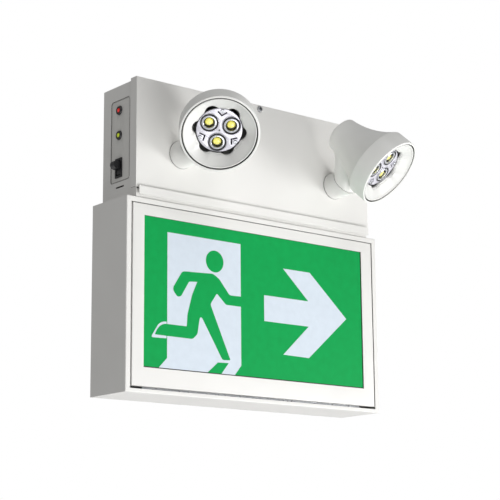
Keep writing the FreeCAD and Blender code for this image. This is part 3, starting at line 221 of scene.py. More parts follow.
def clearAcrylic():
    # polished acrylic optic: clear, glossy, moulded without grain
    material, tree, surface, coords = newMaterial("clearAcrylic", IOR=1.49, Transmission_Weight=0.85)
    flow = addNode(tree, "ShaderNodeTexNoise", None, Vector=coords, Scale=grainScale(5), Detail=1.0)
    tint(tree, surface, flow.outputs["Fac"], "#E6E9F2", "#F2F4FA")
    varyRoughness(tree, surface, flow.outputs["Fac"], 0.02, 0.06)
    return material


def phosphor():
    # yellow phosphor over a white led, with a faint glow painted in to brighten the phosphor
    material, tree, surface, coords = newMaterial(
        "ledPhosphor", IOR=1.5, Emission_Color=linear("#F4EA50"), Emission_Strength=0.7)
    grain = addNode(tree, "ShaderNodeTexNoise", None, Vector=coords, Scale=grainScale(0.4), Detail=2.0)
    tint(tree, surface, grain.outputs["Fac"], "#E6D835", "#F6EE78")
    varyRoughness(tree, surface, grain.outputs["Fac"], 0.35, 0.5)
    giveBump(tree, surface, grain.outputs["Fac"], 0.1, 0.02)
    return material


def pilotLens(name, light, dark, glow):
    # tinted epoxy of a small round led
    material, tree, surface, coords = newMaterial(
        name, IOR=1.5, Emission_Color=linear(light), Emission_Strength=glow)
    body = addNode(tree, "ShaderNodeTexNoise", None, Vector=coords, Scale=grainScale(2), Detail=1.0)
    tint(tree, surface, body.outputs["Fac"], dark, light)
    varyRoughness(tree, surface, body.outputs["Fac"], 0.08, 0.15)
    return material


def plainMetal(name, light, dark, low, high):
    # extruded, stamped or anodised metal: a dull sheen with a fine grain
    material, tree, surface, coords = newMaterial(name, Metallic=1.0)
    grain = addNode(tree, "ShaderNodeTexNoise", None, Vector=coords, Scale=grainScale(0.8), Detail=3.0)
    tint(tree, surface, grain.outputs["Fac"], dark, light)
    varyRoughness(tree, surface, grain.outputs["Fac"], low, high)
    giveBump(tree, surface, grain.outputs["Fac"], 0.1, 0.02)
    return material


def solderMask():
    # green solder mask over a glass-fibre board
    material, tree, surface, coords = newMaterial("solderMask", IOR=1.55)
    weave = addNode(tree, "ShaderNodeTexNoise", None, Vector=coords, Scale=grainScale(1.2), Detail=2.0)
    tint(tree, surface, weave.outputs["Fac"], "#17492B", "#1D5935")
    varyRoughness(tree, surface, weave.outputs["Fac"], 0.25, 0.4)
    giveBump(tree, surface, weave.outputs["Fac"], 0.1, 0.03)
    return material


def opticGrey():
    # moulded acrylic of the optic's flange: glossy, pale grey where the silvered cone shows through
    material, tree, surface, coords = newMaterial("silveredAcrylic", IOR=1.49, Metallic=0.6)
    cloud = addNode(tree, "ShaderNodeTexNoise", None, Vector=coords, Scale=grainScale(1.5), Detail=2.0)
    tint(tree, surface, cloud.outputs["Fac"], "#B6B8BE", "#CFD1D6")
    varyRoughness(tree, surface, cloud.outputs["Fac"], 0.12, 0.25)
    return material


whiteSteel = powderCoat()
whiteAbs = mouldedWhite()
inkWhite = printedSheet("whitePrintedInk", "#D2DCE6", "#CDD7E1", 0.04)
opticCollar = opticGrey()
finishes = {
    "white_painted_steel": whiteSteel,
    "white_plastic": whiteAbs,
    "printed_polycarbonate": printedSheet("greenPrintedPolycarbonate", "#009E4D", "#009849", 0.04),
    "opal_acrylic": printedSheet("opalAcrylic", "#ECECE8", "#E4E4E0", 0.0),
    "black_plastic": blackPlastic(),
    "circuit_board": solderMask(),
    "red_lens": pilotLens("redPilotLens", "#D8201C", "#A81614", 0.35),
    "green_lens": pilotLens("greenPilotLens", "#B9C81E", "#8C9E14", 0.35),
    "metallised_plastic": silveredPlate(),
    "clear_acrylic": clearAcrylic(),
    "led_phosphor": phosphor(),
    # the heat sinks' near-black colour is painted shade: it makes the plate's slots and the gaps it shows through
    # read dark
    "aluminium": plainMetal("shadeDarkAluminium", "#34353A", "#26272B", 0.3, 0.45),
    "brass": brass(),
    "core_steel": plainMetal("siliconSteelCore", "#5A5B60", "#45464A", 0.45, 0.6),
    "zinc_plated_steel": zincSteel(),
}
for part in frame["record"]["subparts"]:
    cadPart = frame["nodes"][part["node"]]
    cadPart.data.materials.clear()
    cadPart.data.materials.append(finishes[part["material_slot"]])
panelAbs = panelPlastic()
print("materials on the frame")


# shapes are in millimetres until makePiece turns them to metres
def eased(corners, steps=5):
    # an outline whose corners (x, y, radius) are rounded by arcs; a corner (x, y) stays sharp
    points = []
    for i, corner in enumerate(corners):
        here = Vector(corner[:2])
        if len(corner) < 3:
            points.append(here)
            continue
        back = (Vector(corners[i - 1][:2]) - here).normalized()
        ahead = (Vector(corners[(i + 1) % len(corners)][:2]) - here).normalized()
        half = back.angle(ahead) / 2
        middle = here + (back + ahead).normalized() * (corner[2] / math.sin(half))
        first = here + back * (corner[2] / math.tan(half)) - middle
        last = here + ahead * (corner[2] / math.tan(half)) - middle
        sweep = math.atan2(first.x * last.y - first.y * last.x, first.dot(last))
        for k in range(steps + 1):
            points.append(middle + Matrix.Rotation(sweep * k / steps, 2) @ first)
    return [tuple(point) for point in points]


def ring(radius, steps=64, x=0.0, y=0.0):
    turns = [2 * math.pi * i / steps for i in range(steps)]
    return [(x + radius * math.cos(turn), y + radius * math.sin(turn)) for turn in turns]


def joinRings(rings, closed=False):
    # faces between neighbouring rings of points; a ring of one point closes the shape
    verts, starts, faces = [], [], []
    for points in rings:
        starts.append((len(verts), len(points)))
        verts += points
    pairs = list(zip(starts, starts[1:])) + ([(starts[-1], starts[0])] if closed else [])
    for (low, lowCount), (high, highCount) in pairs:
        count = max(lowCount, highCount)
        for i in range(count):
            j = (i + 1) % count
            corners = [low + i % lowCount, low + j % lowCount, high + j % highCount, high + i % highCount]
            faces.append(list(dict.fromkeys(corners)))
    return verts, faces


def turned(profile, steps=96, closed=False):
    # turns (radius, height) pairs about the height axis
    rings = [[(x, y, height) for x, y in ring(radius, steps)] if radius else [(0, 0, height)]
             for radius, height in profile]
    return joinRings(rings, closed)


def sheetMesh(outlines, thick, edge=0.0):
    # a sheet between z = 0 and z = thick with eased edges; an outline inside another is a hole
    curve = bpy.data.curves.new("sheetOutline", "CURVE")
    curve.dimensions = "2D"
    curve.fill_mode = "BOTH"
    curve.extrude = thick / 2 - edge
    curve.bevel_depth = edge
    curve.bevel_resolution = 1
    curve.offset = -edge
    for outline in outlines:
        spline = curve.splines.new("POLY")
        spline.points.add(len(outline) - 1)
        for point, (x, y) in zip(spline.points, outline):
            point.co = (x, y, 0, 1)
        spline.use_cyclic_u = True
    holder = bpy.data.objects.new("sheetOutline", curve)
    mesh = bpy.data.meshes.new_from_object(holder)
    verts = [(v.co.x, v.co.y, v.co.z + thick / 2) for v in mesh.vertices]
    faces = [list(polygon.vertices) for polygon in mesh.polygons]
    bpy.data.objects.remove(holder)
    bpy.data.meshes.remove(mesh)
    return verts, faces


def moved(shape, place):
    return [tuple(place @ Vector(v)) for v in shape[0]], shape[1]


def merged(shapes):
    verts, faces = [], []
    for shapeVerts, shapeFaces in shapes:
        faces += [[index + len(verts) for index in face] for face in shapeFaces]
        verts += shapeVerts
    return verts, faces


def makePiece(name, shape, place, material, body, nodes=(), sharp=35):
    # place maps the piece's own millimetres to the row frame's millimetres
    mesh = bpy.data.meshes.new(name)
    mesh.from_pydata([place @ Vector(v) * mm for v in shape[0]], [], shape[1])
    build = bmesh.new()
    build.from_mesh(mesh)
    bmesh.ops.remove_doubles(build, verts=build.verts, dist=2e-6)
    bmesh.ops.recalc_face_normals(build, faces=build.faces)
    build.to_mesh(mesh)
    build.free()
    mesh.polygons.foreach_set("use_smooth", [True] * len(mesh.polygons))
    mesh.set_sharp_from_angle(angle=math.radians(sharp))
    mesh.materials.append(material)
    piece = bpy.data.objects.new(name, mesh)
    bpy.context.scene.collection.objects.link(piece)
    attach(piece, body)
    if nodes:
        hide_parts(*nodes)
    return piece


facePlate = {
    "gapLeft": 1.3, "gapRight": -0.3, "gapTop": -0.6, "gapBottom": 1.3, "round": 0.8, "sheet": 1.0,
    "lapSide": 6.0, "lapLow": 6.0, "lapHigh": 4.4,
}


def windowEdges():
    # the face plate's window over the legend panel: left, right, bottom and top
    low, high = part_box("legend_panel")
    return (low.x / mm + facePlate["lapSide"], high.x / mm - facePlate["lapSide"],
            low.z / mm + facePlate["lapLow"], high.z / mm - facePlate["lapHigh"])


def framePoints(left, right, bottom, top):
    return [(left, bottom), (right, bottom), (right, top), (left, top)]


def facing(x, y, z):
    # turns a drawing's plane up to face the viewer, at a point of the row frame
    return Matrix.Translation((x, y, z)) @ Matrix.Rotation(math.radians(90), 4, "X")


def makeFacePlate():
    # a pressed frame: the window is cut square and the outer edge turns back all round
    low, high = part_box("face_plate")
    left, right = low.x / mm + facePlate["gapLeft"], high.x / mm - facePlate["gapRight"]
    bottom, top = low.z / mm + facePlate["gapBottom"], high.z / mm - facePlate["gapTop"]
    window = framePoints(*windowEdges())

    def frameAt(inset, depth):
        corners = framePoints(left + inset, right - inset, bottom + inset, top - inset)
        return [(x, z, depth) for x, z in corners]

    deep, sheet, bend = (high.y - low.y) / mm, facePlate["sheet"], facePlate["round"]
    rings = [[(x, z, -sheet) for x, z in window], [(x, z, 0) for x, z in window], frameAt(bend, 0)]
    rings += [frameAt(bend * (1 - math.sin(turn)), -bend * (1 - math.cos(turn))) for turn in (0.4, 0.8, 1.2)]
    rings += [frameAt(0, -bend), frameAt(0, -deep), frameAt(sheet, -deep), frameAt(sheet, -sheet)]
    makePiece("facePlate", joinRings(rings, True), facing(0, low.y / mm, 0), whiteSteel,
              "light_unit", ["face_plate"])


# a running figure leaves through a doorway towards an arrow: the inks are printed on the green panel, and a black
# frame inside the window's edges is painted shade
legendPrintAndShade = {
    "thick": 0.12, "edgeLap": 1.0, "edgeClear": 0.01,
    # widths of the black frame of painted shade inside the window: widest at the bottom and the right
    "edge": {"left": 0.5, "right": 0.9, "low": 1.1, "high": 0.3},
    "door": [(-122.5, 66), (-25, 66), (-25, -66.7), (-34.6, -78.5), (-134, -78.5), (-122.5, -66.7)],
    "arrow": [(7.5, 13.4), (71.4, 13.4), (35, 46.3), (74, 46.3), (128.2, -0.9),
              (71, -50.4), (34, -49.7), (71.4, -15.2), (7.5, -15.2)],
    "headMiddle": (-60.4, 42.3),
    "headRadius": 11.8,
    "figure": [
        (-103.2, 26.6, 6), (-62.6, 28.6, 7), (-54.6, 24.1, 6), (-40.4, 7.8, 5), (-25, 8.1), (-25, -3),
        (-45.4, -3, 5), (-57.6, 8.0, 1.5), (-66.4, -4.6, 4), (-39.6, -62.2, 1), (-50.4, -62.8, 4),
        (-79.7, -16.6, 2), (-83.6, -38.6, 7), (-89.8, -44, 6), (-138.3, -43.6, 0.6), (-131.5, -31.3, 14),
        (-97.4, -31.4, 1), (-96.5, -18.6, 20), (-90.6, 2.4, 20), (-83.8, 17.4), (-94.4, 16.6, 3),
        (-104.6, 0.2, 4), (-109.2, -1.8, 4), (-116.2, 6.4, 5)],
    "footEdge": [(-123.3, -28.9), (-131.8, -29.4, 13), (-143.0, -46.8, 1.2), (-123.3, -46.4)],
    "shadow": [(-56.6, -65.9), (-42, -65.4), (-52.6, -78.5), (-71.2, -78.5)],
}


def makeLegend():
    low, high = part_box("legend_panel")
    thick, lap, edge = legendPrintAndShade["thick"], legendPrintAndShade["edgeLap"], legendPrintAndShade["edge"]
    onPanel = facing(0, low.y / mm, (low.z + high.z) / 2 / mm)
    whiteShapes = [sheetMesh([eased(legendPrintAndShade[shape])], thick) for shape in ("door", "arrow", "footEdge")]
    makePiece("legendWhiteInk", merged(whiteShapes), onPanel, inkWhite, "light_unit")
    # a black sheet inside the window's edges is painted shade where the face plate's window edge shades the panel
    left, right, bottom, top = windowEdges()
    outside = framePoints(left - lap, right + lap, bottom - lap, top + lap)
    inside = framePoints(left + edge["left"], right - edge["right"], bottom + edge["low"], top - edge["high"])
    onWindow = facing(0, low.y / mm - legendPrintAndShade["edgeClear"], 0)
    makePiece("legendEdgeShade", sheetMesh([outside, inside], 2 * thick), onWindow, finishes["black_plastic"],
              "light_unit")
    man = [sheetMesh([eased(legendPrintAndShade["figure"])], thick),
           sheetMesh([ring(legendPrintAndShade["headRadius"], 64, *legendPrintAndShade["headMiddle"])], thick),
           sheetMesh([legendPrintAndShade["shadow"]], thick)]
    above = onPanel @ Matrix.Translation((0, 0, thick))
    makePiece("legendGreenInk", merged(man), above, finishes["printed_polycarbonate"],
              "light_unit")


lampHead = {
    "rimWide": 83.0, "bandLong": 21.0, "backWide": 40.0, "long": 84.0, "dome": 6.4, "flankRadius": 102.0,
    "wall": 2.2, "rimRound": 0.7, "bandRound": 1.0, "backRound": 2.5,
    "footWide": 29.0, "footRoot": 36.0, "footRootOff": 8.0, "footRootDepth": 59.6, "footSkirt": 6.0,
    "footGap": 0.25, "footWall": 1.2, "footSink": 0.15,
    "moduleRoll": {"left": -9.0, "right": 0.0},
}


def islandMiddles(node):
    # the middles of a node's separate solids, always in the same order
    build = bmesh.new()
    build.from_mesh(frame["nodes"][node].data)
    bmesh.ops.remove_doubles(build, verts=build.verts, dist=1e-6)
    left, middles = set(build.verts), []
    while left:
        island, edge = set(), {next(iter(left))}
        while edge:
            island |= edge
            edge = {e.other_vert(v) for v in edge for e in v.link_edges} - island
        left -= island
        corners = [v.co for v in build.verts if v in island]
        middles.append(sum(corners, Vector()) / len(corners) / mm)
    build.free()
    return sorted(middles, key=lambda middle: [round(value, 2) for value in middle])


def jointNamed(name):
    return next(joint for joint in frame["joints"] if joint["name"] == name)


def headPlace(side):
    # the lamp's frame: origin at the middle of the rim, Z out of the mouth, X towards the foot
    screws = islandMiddles(side + "_module_screws")
    lenses = islandMiddles(side + "_lenses")
    axis = (screws[1] - screws[0]).cross(screws[2] - screws[0]).normalized()
    middle = sum(screws, Vector()) / 3
    shell = [v.co / mm for v in frame["nodes"][side + "_lamp_housing"].data.vertices]
    if sum(((v - middle).dot(axis) for v in shell)) > 0:
        axis.negate()
    rim = middle + axis * max((v - middle).dot(axis) for v in shell)
    pivot = Vector(jointNamed(side + "_tilt")["pos_m"]) / mm
    foot = pivot - rim
    across = (foot - axis * foot.dot(axis)).normalized()
    place = Matrix((across, axis.cross(across), axis)).transposed().to_4x4()
    place.translation = rim
    lens = place.inverted() @ lenses[0]
    return place, math.atan2(lens.y, lens.x)


def arcHeights(start, end, radius, steps=14):
    # points (radius, height) along an arc between two profile points, hollow towards the outside
    first, last = Vector(start), Vector(end)
    chord = last - first
    normal = Vector((chord.y, -chord.x)).normalized()
    if normal.x < 0:
        normal.negate()
    middle = (first + last) / 2 + normal * math.sqrt(radius ** 2 - (chord.length / 2) ** 2)
    begin, finishAt = first - middle, last - middle
    sweep = math.atan2(begin.x * finishAt.y - begin.y * finishAt.x, begin.dot(finishAt))
    return [tuple(middle + Matrix.Rotation(sweep * k / steps, 2) @ begin) for k in range(steps + 1)]


def bellOutside():
    # the bell's outer half section from the rim to the back, heights measured from the rim
    rim, back = lampHead["rimWide"] / 2, lampHead["backWide"] / 2
    backHeight = -lampHead["long"] + lampHead["dome"]
    flank = arcHeights((rim, -lampHead["bandLong"]), (back, backHeight), lampHead["flankRadius"])
    domeRadius = (back ** 2 + lampHead["dome"] ** 2) / (2 * lampHead["dome"])
    dome = []
    for k in range(9):
        reach = back * (1 - k / 8)
        dome.append((reach, -lampHead["long"] + domeRadius - math.sqrt(domeRadius ** 2 - reach ** 2)))
    corners = [(rim, 0, lampHead["rimRound"]), (rim, -lampHead["bandLong"], lampHead["bandRound"])]
    corners += [(r, h) for r, h in flank[1:-1]] + [(back, backHeight, lampHead["backRound"])] + dome[1:-1]
    return eased([(rim - lampHead["wall"], 0)] + corners + [(0, -lampHead["long"])], 4)


def bellInside():
    rim, back = lampHead["rimWide"] / 2 - lampHead["wall"], lampHead["backWide"] / 2 - lampHead["wall"]
    backHeight = -lampHead["long"] + lampHead["dome"] + lampHead["wall"]
    flank = arcHeights((rim, -lampHead["bandLong"]), (back, backHeight), lampHead["flankRadius"])
    return [(rim, 0)] + flank + [(0, -lampHead["long"] + lampHead["wall"])]


def bellRadius(height, profile):
    # the bell's radius at a height, read off its half section
    for (r0, h0), (r1, h1) in zip(profile, profile[1:]):
        if min(h0, h1) <= height <= max(h0, h1) and h0 != h1:
            return r0 + (r1 - r0) * (height - h0) / (h1 - h0)
    return 0.0


def footColumn(start, end, middle, rootMiddle, profile):
    # one line down the foot: straight from the turret's face, then a curve that lands on the bell
    near, far = 0.0, 1.0
    for _ in range(30):
        half = (near + far) / 2
        spot = start.lerp(end, half)
        if math.hypot(spot.x, spot.y) > bellRadius(spot.z, profile):
            near = half
        else:
            far = half
    meet = start.lerp(end, near)
    outwards = (meet - middle.lerp(rootMiddle, near)).normalized()
    skirt = lampHead["footSkirt"]
    spread = meet + outwards * skirt
    reach = bellRadius(spread.z, profile) - lampHead["footSink"]
    flat = Vector((spread.x, spread.y)).normalized() * reach
    landing = Vector((flat.x, flat.y, spread.z))
    leave = meet + (start - meet).normalized() * min(skirt, (start - meet).length * 0.7)
    column = [start.lerp(leave, k / 4) for k in range(5)]
    levels = 12
    for k in range(1, levels + 1):
        share = k / levels
        column.append(leave.lerp(meet, share).lerp(meet.lerp(landing, share), share))
    return column


def footShape(place, side, profile):
    # the foot: a straight taper from the turret face that flares on to the bell in an even fillet
    tilt = jointNamed(side + "_tilt")
    inward = place.inverted()
    up = (inward.to_3x3() @ Vector(tilt["axis"])).normalized()
    if up.x > 0:
        up.negate()
    mouth = inward @ (Vector(tilt["pos_m"]) / mm) + up * lampHead["footGap"]
    sideways = Vector((0, 1, 0))
    along = sideways.cross(up).normalized()
    low, high = lampHead["footWide"] / 2, lampHead["footRoot"] / 2
    rootMiddle = Vector((lampHead["footRootOff"], 0, -lampHead["footRootDepth"]))
    rise = 1 if along.z > 0 else -1
    columns, inner = [], []
    for x, y in ring(1, 64):
        heading = along * x + sideways * y
        root = rootMiddle + Vector((0, high * y, rise * high * x))
        columns.append(footColumn(mouth + heading * low, root, mouth, rootMiddle, profile))
        inner.append(tuple(mouth + heading * (low - lampHead["footWall"])))
    rings = [[tuple(mouth)], inner]
    for k in range(len(columns[0])):
        rings.append([tuple(column[k]) for column in columns])
    return joinRings(rings)


def makeHousing(side, place):
    profile = bellOutside()
    shapes = [turned(profile, 128), turned(bellInside(), 128), footShape(place, side, profile)]
    makePiece(side + "LampHousing", merged(shapes), place, whiteAbs, side + "_head",
              [side + "_lamp_housing"])


bezel = {
    "outWide": 78.1, "set": 0.6, "wall": 1.6, "coneDeep": 9.0, "starWide": 49.2, "lobeReach": 28.3,
    "lobeWide": 16.0, "lobeEase": 0.45, "skirt": 14.7, "lobes": 6, "edgeRound": 0.8, "bead": 1.2,
}


def starOpening(turn):
    # the opening's radius at an angle: a circle joined to round lobes by eased corners
    base = bezel["starWide"] / 2
    lobe = bezel["lobeWide"] / 2
    out = bezel["lobeReach"] - lobe
    step = 2 * math.pi / bezel["lobes"]
    away = (turn + step / 2) % step - step / 2
    inLobe = lobe ** 2 - (out * math.sin(away)) ** 2
    bulge = out * math.cos(away) + math.sqrt(inLobe) if inLobe > 0 else 0
    ease = bezel["lobeEase"]
    return ease * math.log(math.exp(base / ease) + math.exp(bulge / ease))


def makeBezel(side, place):
    # rings from the skirt over the rim bead and down the cone to the six-lobed opening
    steps = 180
    wall, edge = bezel["wall"], bezel["edgeRound"]
    outer, top = bezel["outWide"] / 2, -bezel["set"]
    low = top - bezel["coneDeep"]
    mouthRim, mouthTop = outer - wall - bezel["bead"], top - 1.1
    rings = []

    def plainRing(radius, height):
        rings.append([(x, y, height) for x, y in ring(radius, steps)])

    def starRing(share, inset, height):
        points = []
        for i in range(steps):
            turn = 2 * math.pi * i / steps
            mouth = starOpening(turn) + inset
            reach = mouth + (mouthRim - mouth) * share
            points.append((reach * math.cos(turn), reach * math.sin(turn), height))
        rings.append(points)

    rim = [(wall, bezel["skirt"]), (0, bezel["skirt"]), (0, 2.2), (0.9, 0.9), (1.3, 0.1), (1.6, 0),
           (wall + 0.6, 0.1)]
    for inset, drop in rim:
        plainRing(outer - inset, top - drop)
    plainRing(mouthRim, mouthTop)
    for k in range(1, 7):
        starRing(1 - k / 6.6, 0, mouthTop - (mouthTop - low) * k / 6.6)
    lip = [(edge, -0.05), (0.3 * edge, 0.3 * edge), (0, edge), (0, wall + 1.2), (1.4, wall + 1.2),
           (1.8, wall)]
    for inset, drop in lip:
        starRing(0, inset, low - drop)
    plainRing(outer - wall - 2.5, top - 4.4)
    makePiece(side + "Bezel", joinRings(rings, True), place, whiteAbs, side + "_head",
              [side + "_bezel"])


module = {
    "wide": 47.2, "set": 11.6, "thick": 2.5, "opticRing": 13.3, "wellWide": 19.0, "opticWide": 15.6,
    "beadWide": 0.6, "pipWide": 1.6, "slotWide": 1.5, "slotLong": 6.2, "slotRing": 16.0, "slotFork": 50.0,
    "screwRing": 21.2, "screwWide": 2.2, "screwLong": 5.0, "screwGap": 0.1, "headWide": 4.4, "headTall": 1.1,
}


def spotsRound(radius, phase, count=3):
    for i in range(count):
        turn = math.radians(phase + 360 * i / count)
        yield radius * math.cos(turn), radius * math.sin(turn)


def forkedSlots():
    # three V-shaped slots, each opening round its screw
    half, fork, inset = module["slotWide"] / 2, math.radians(module["slotFork"]), module["slotRing"]
    point = half / math.sin(fork)
    endOut, endAcross = inset + module["slotLong"] * math.cos(fork), module["slotLong"] * math.sin(fork)
    away, across = half * math.sin(fork), half * math.cos(fork)
    corners = [(inset - point, 0), (endOut - away, endAcross + across), (endOut + away, endAcross - across),
               (inset + point, 0), (endOut + away, across - endAcross), (endOut - away, -endAcross - across)]
    slots = []
    for i in range(3):
        heading = Matrix.Rotation(math.radians(60 + 120 * i), 2)
        slots.append([tuple(heading @ Vector(corner)) for corner in corners])
    return slots


def makeModulePlate(side, place):
    # a flat disc with three wells, a bead round each well and a slot that forks round each screw
    reach, wide, face = module["wellWide"] / 2, module["beadWide"], -module["set"]
    screwHole = module["screwWide"] / 2 + module["screwGap"]
    wells = [ring(reach, 48, x, y) for x, y in spotsRound(module["opticRing"], 0)]
    screwHoles = [ring(screwHole, 20, x, y) for x, y in spotsRound(module["screwRing"], 60)]
    outlines = [ring(module["wide"] / 2, 120)] + wells + screwHoles + forkedSlots()
    plate = sheetMesh(outlines, module["thick"], 0.15)
    shapes = [moved(plate, Matrix.Translation((0, 0, face - module["thick"])))]
    bead = turned([(reach, face - 1), (reach, face + 0.35), (reach + 0.25, face + 0.6),
                   (reach + wide, face + 0.35), (reach + wide, face - 1)], 48)
    for x, y in spotsRound(module["opticRing"], 0):
        shapes.append(moved(bead, Matrix.Translation((x, y, 0))))
    makePiece(side + "ModulePlate", merged(shapes), place, finishes["metallised_plastic"],
              side + "_head", [side + "_module_plate"])


def makeOptics(side, place):
    # each optic is a flanged collar in a black ring, a bore lined black and a clear dome over the led; the black
    # ring and the black bore are painted shade round and inside each well
    face, reach, pip = -module["set"], module["opticWide"] / 2, module["pipWide"] / 2
    collar = turned([(reach, face - 4), (reach, face + 0.1), (reach - 0.7, face + 0.5),
                     (reach - 1.5, face + 0.5), (reach - 2.0, face + 0.1), (reach - 2.2, face - 1.6),
                     (reach - 2.2, face - 4)], 48, True)
    holder = turned([(reach + 0.1, face - 4), (reach + 0.1, face - 0.4), (reach + 1.6, face + 0.4),
                     (reach + 1.6, face - 4)], 48, True)
    bore = turned([(reach - 2.3, face - 3.8), (reach - 2.3, face - 1.0), (4.4, face - 2.4),
                   (4.2, face - 3.8)], 48, True)
    dome = turned([(4.1, face - 3.6), (4.1, face - 1.9), (3.6, face - 1.1), (2.6, face - 0.5),
                   (1.3, face - 0.2), (0, face - 0.1)], 40)
    chip = turned([(2.9, face - 4.4), (2.9, face - 3.5), (2.3, face - 3.1), (0, face - 3.0)], 32)
    spots = [Matrix.Translation((x, y, 0)) for x, y in spotsRound(module["opticRing"], 0)]

    def atSpots(*shapes):
        return [moved(shape, spot) for spot in spots for shape in shapes]

    centrePip = turned([(pip, face - 0.5), (pip, face + 0.3), (0, face + 0.5)], 20)
    body, acrylic = side + "_head", finishes["clear_acrylic"]
    makePiece(side + "OpticCollars", merged(atSpots(collar)), place, opticCollar, body,
              [side + "_lenses"])
    # the black holder rings and bores paint the shade at the edge of each well and down its bore
    makePiece(side + "OpticBores", merged(atSpots(holder, bore) + [centrePip]), place,
              finishes["black_plastic"], body)
    makePiece(side + "OpticDomes", merged(atSpots(dome)), place, acrylic, body)
    makePiece(side + "LedDomes", merged(atSpots(chip)), place, finishes["led_phosphor"], body,
              [side + "_leds"])


def panHead(wide, tall, shank, shankLong):
    # a pan head on its shank with a cross recess: the seat is at 0, the head rises along Z
    half, arm, slot = wide / 2, wide * 0.3, wide * 0.09
    cross = [(arm, -slot), (arm, slot), (slot, slot), (slot, arm), (-slot, arm), (-slot, slot), (-arm, slot),
             (-arm, -slot), (-slot, -slot), (-slot, -arm), (slot, -arm), (slot, -slot)]
    middle = tall * 0.5
    crown = moved(sheetMesh([ring(half * 0.72, 40), cross], middle), Matrix.Translation((0, 0, middle)))
    recess = turned([(half * 0.72, middle), (0, middle)], 40)
    skirt = turned([(half * 0.72, tall), (half * 0.86, tall * 0.93), (half * 0.97, tall * 0.7),
                    (half, tall * 0.35), (half * 0.97, 0), (shank / 2, 0), (shank / 2, -shankLong),
                    (0, -shankLong - shank / 3)], 40)
    return merged([crown, recess, skirt])


def makeModuleScrews(side, place):
    # each screw stops at a turn of its own
    screw = panHead(module["headWide"], module["headTall"], module["screwWide"], module["screwLong"])
    shapes = []
    for x, y in spotsRound(module["screwRing"], 60):
        seat = Matrix.Translation((x, y, -module["set"]))
        shapes.append(moved(screw, seat @ Matrix.Rotation(x + y, 4, "Z")))
    makePiece(side + "ModuleScrews", merged(shapes), place, finishes["zinc_plated_steel"],
              side + "_head", [side + "_module_screws"])


turret = {
    "wide": 29.5, "tall": 19.6, "cutDegrees": 30.0, "gap": 0.25, "round": 1.0, "footRound": 0.4, "bore": 10.2,
    "shankWide": 19.0, "shankLong": 11.0, "wireBore": 13.0,
}


def makeTurret(side):
    # a round stub whose end is cut on the slant; the edge of the cut is eased
    swivel, tilt = jointNamed(side + "_swivel"), jointNamed(side + "_tilt")
    out = Vector(swivel["axis"])
    lean = Vector(tilt["axis"])
    if lean.dot(out) < 0:
        lean.negate()
    across = (lean - out * lean.dot(out)).normalized()
    place = Matrix((across, out.cross(across), out)).transposed().to_4x4()
    place.translation = Vector(swivel["pos_m"]) / mm
    slope = math.tan(math.radians(turret["cutDegrees"]))
    half, shank, soft = turret["wide"] / 2, turret["shankWide"] / 2, turret["round"]
    low, gap, footRound = -turret["shankLong"], turret["gap"], turret["footRound"]

    def slanted(radius, drop):
        return [(x, y, turret["tall"] - drop - x * slope) for x, y in ring(radius, 96)]

    def level(radius, height):
        return [(x, y, height) for x, y in ring(radius, 96)]

    rings = [level(turret["wireBore"] / 2, low), level(shank, low), level(shank, gap),
             level(half - footRound, gap), level(half, gap + footRound), slanted(half, soft),
             slanted(half - 0.3 * soft, 0.3 * soft), slanted(half - soft, 0), slanted(turret["bore"] / 2, 0)]
    makePiece(side + "Turret", joinRings(rings, True), place, whiteAbs,
              side + "_turret_body", [side + "_turret"])


testPanel = {
    "gap": 1.3, "round": 3.0, "thick": 1.8, "edgeRound": 0.2, "lampHole": 8.6, "caseLap": 0.9,
    "openBack": 14.2, "openFront": 49.6, "openLow": 21.9, "openHigh": 112.7,
}


def makeTestPanel():
    # the moulded plate behind the cabinet's side opening; its raised middle stands a little clear of the edge
    low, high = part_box("indicator_panel")
    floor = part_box("cabinet_chassis")[0].z / mm
    gap, corner, lap = testPanel["gap"], testPanel["round"], testPanel["caseLap"]
    opening = framePoints(-testPanel["openFront"] + gap, -testPanel["openBack"] - gap,
                          floor + testPanel["openLow"] + gap, floor + testPanel["openHigh"] - gap)
    middle = eased([(y, z, corner) for y, z in opening])
    outside = framePoints(low.y / mm, high.y / mm, low.z / mm, high.z / mm)
    holes = []
    for lamp in ("ac_on_lamp", "ready_lamp"):
        lampLow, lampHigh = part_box(lamp)
        lampMiddle = (lampLow + lampHigh) / 2 / mm
        holes.append(ring(testPanel["lampHole"] / 2, 40, lampMiddle.y, lampMiddle.z))
    caseLow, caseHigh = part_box("test_switch_body")
    holes.append(framePoints(caseLow.y / mm + lap, caseHigh.y / mm - lap,
                             caseLow.z / mm + lap, caseHigh.z / mm - lap))
    thick, back = testPanel["thick"], -high.x / mm
    rise = high.x / mm - low.x / mm - thick
    plate = moved(sheetMesh([outside] + holes, thick), Matrix.Translation((0, 0, back)))
    raised = moved(sheetMesh([middle] + holes, rise, testPanel["edgeRound"]),
                   Matrix.Translation((0, 0, back + thick)))
    # the drawing's plane turns to face left: X is depth and Y is height
    place = Matrix(((0, 0, -1, 0), (1, 0, 0, 0), (0, 1, 0, 0), (0, 0, 0, 1)))
    makePiece("testPanel", merged([plate, raised]), place, panelAbs, "light_unit",
              ["indicator_panel"])


coverScrew = {"headWide": 6.5, "headTall": 2.2, "shankWide": 3.5, "shankLong": 8.0}


def makeCoverScrew():
    low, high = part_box("cover_screw")
    seat = facing((low.x + high.x) / 2 / mm, low.y / mm + coverScrew["headTall"], (low.z + high.z) / 2 / mm)
    screw = panHead(coverScrew["headWide"], coverScrew["headTall"], coverScrew["shankWide"],
                    coverScrew["shankLong"])
    makePiece("coverScrew", screw, seat, finishes["zinc_plated_steel"], "light_unit",
              ["cover_screw"])


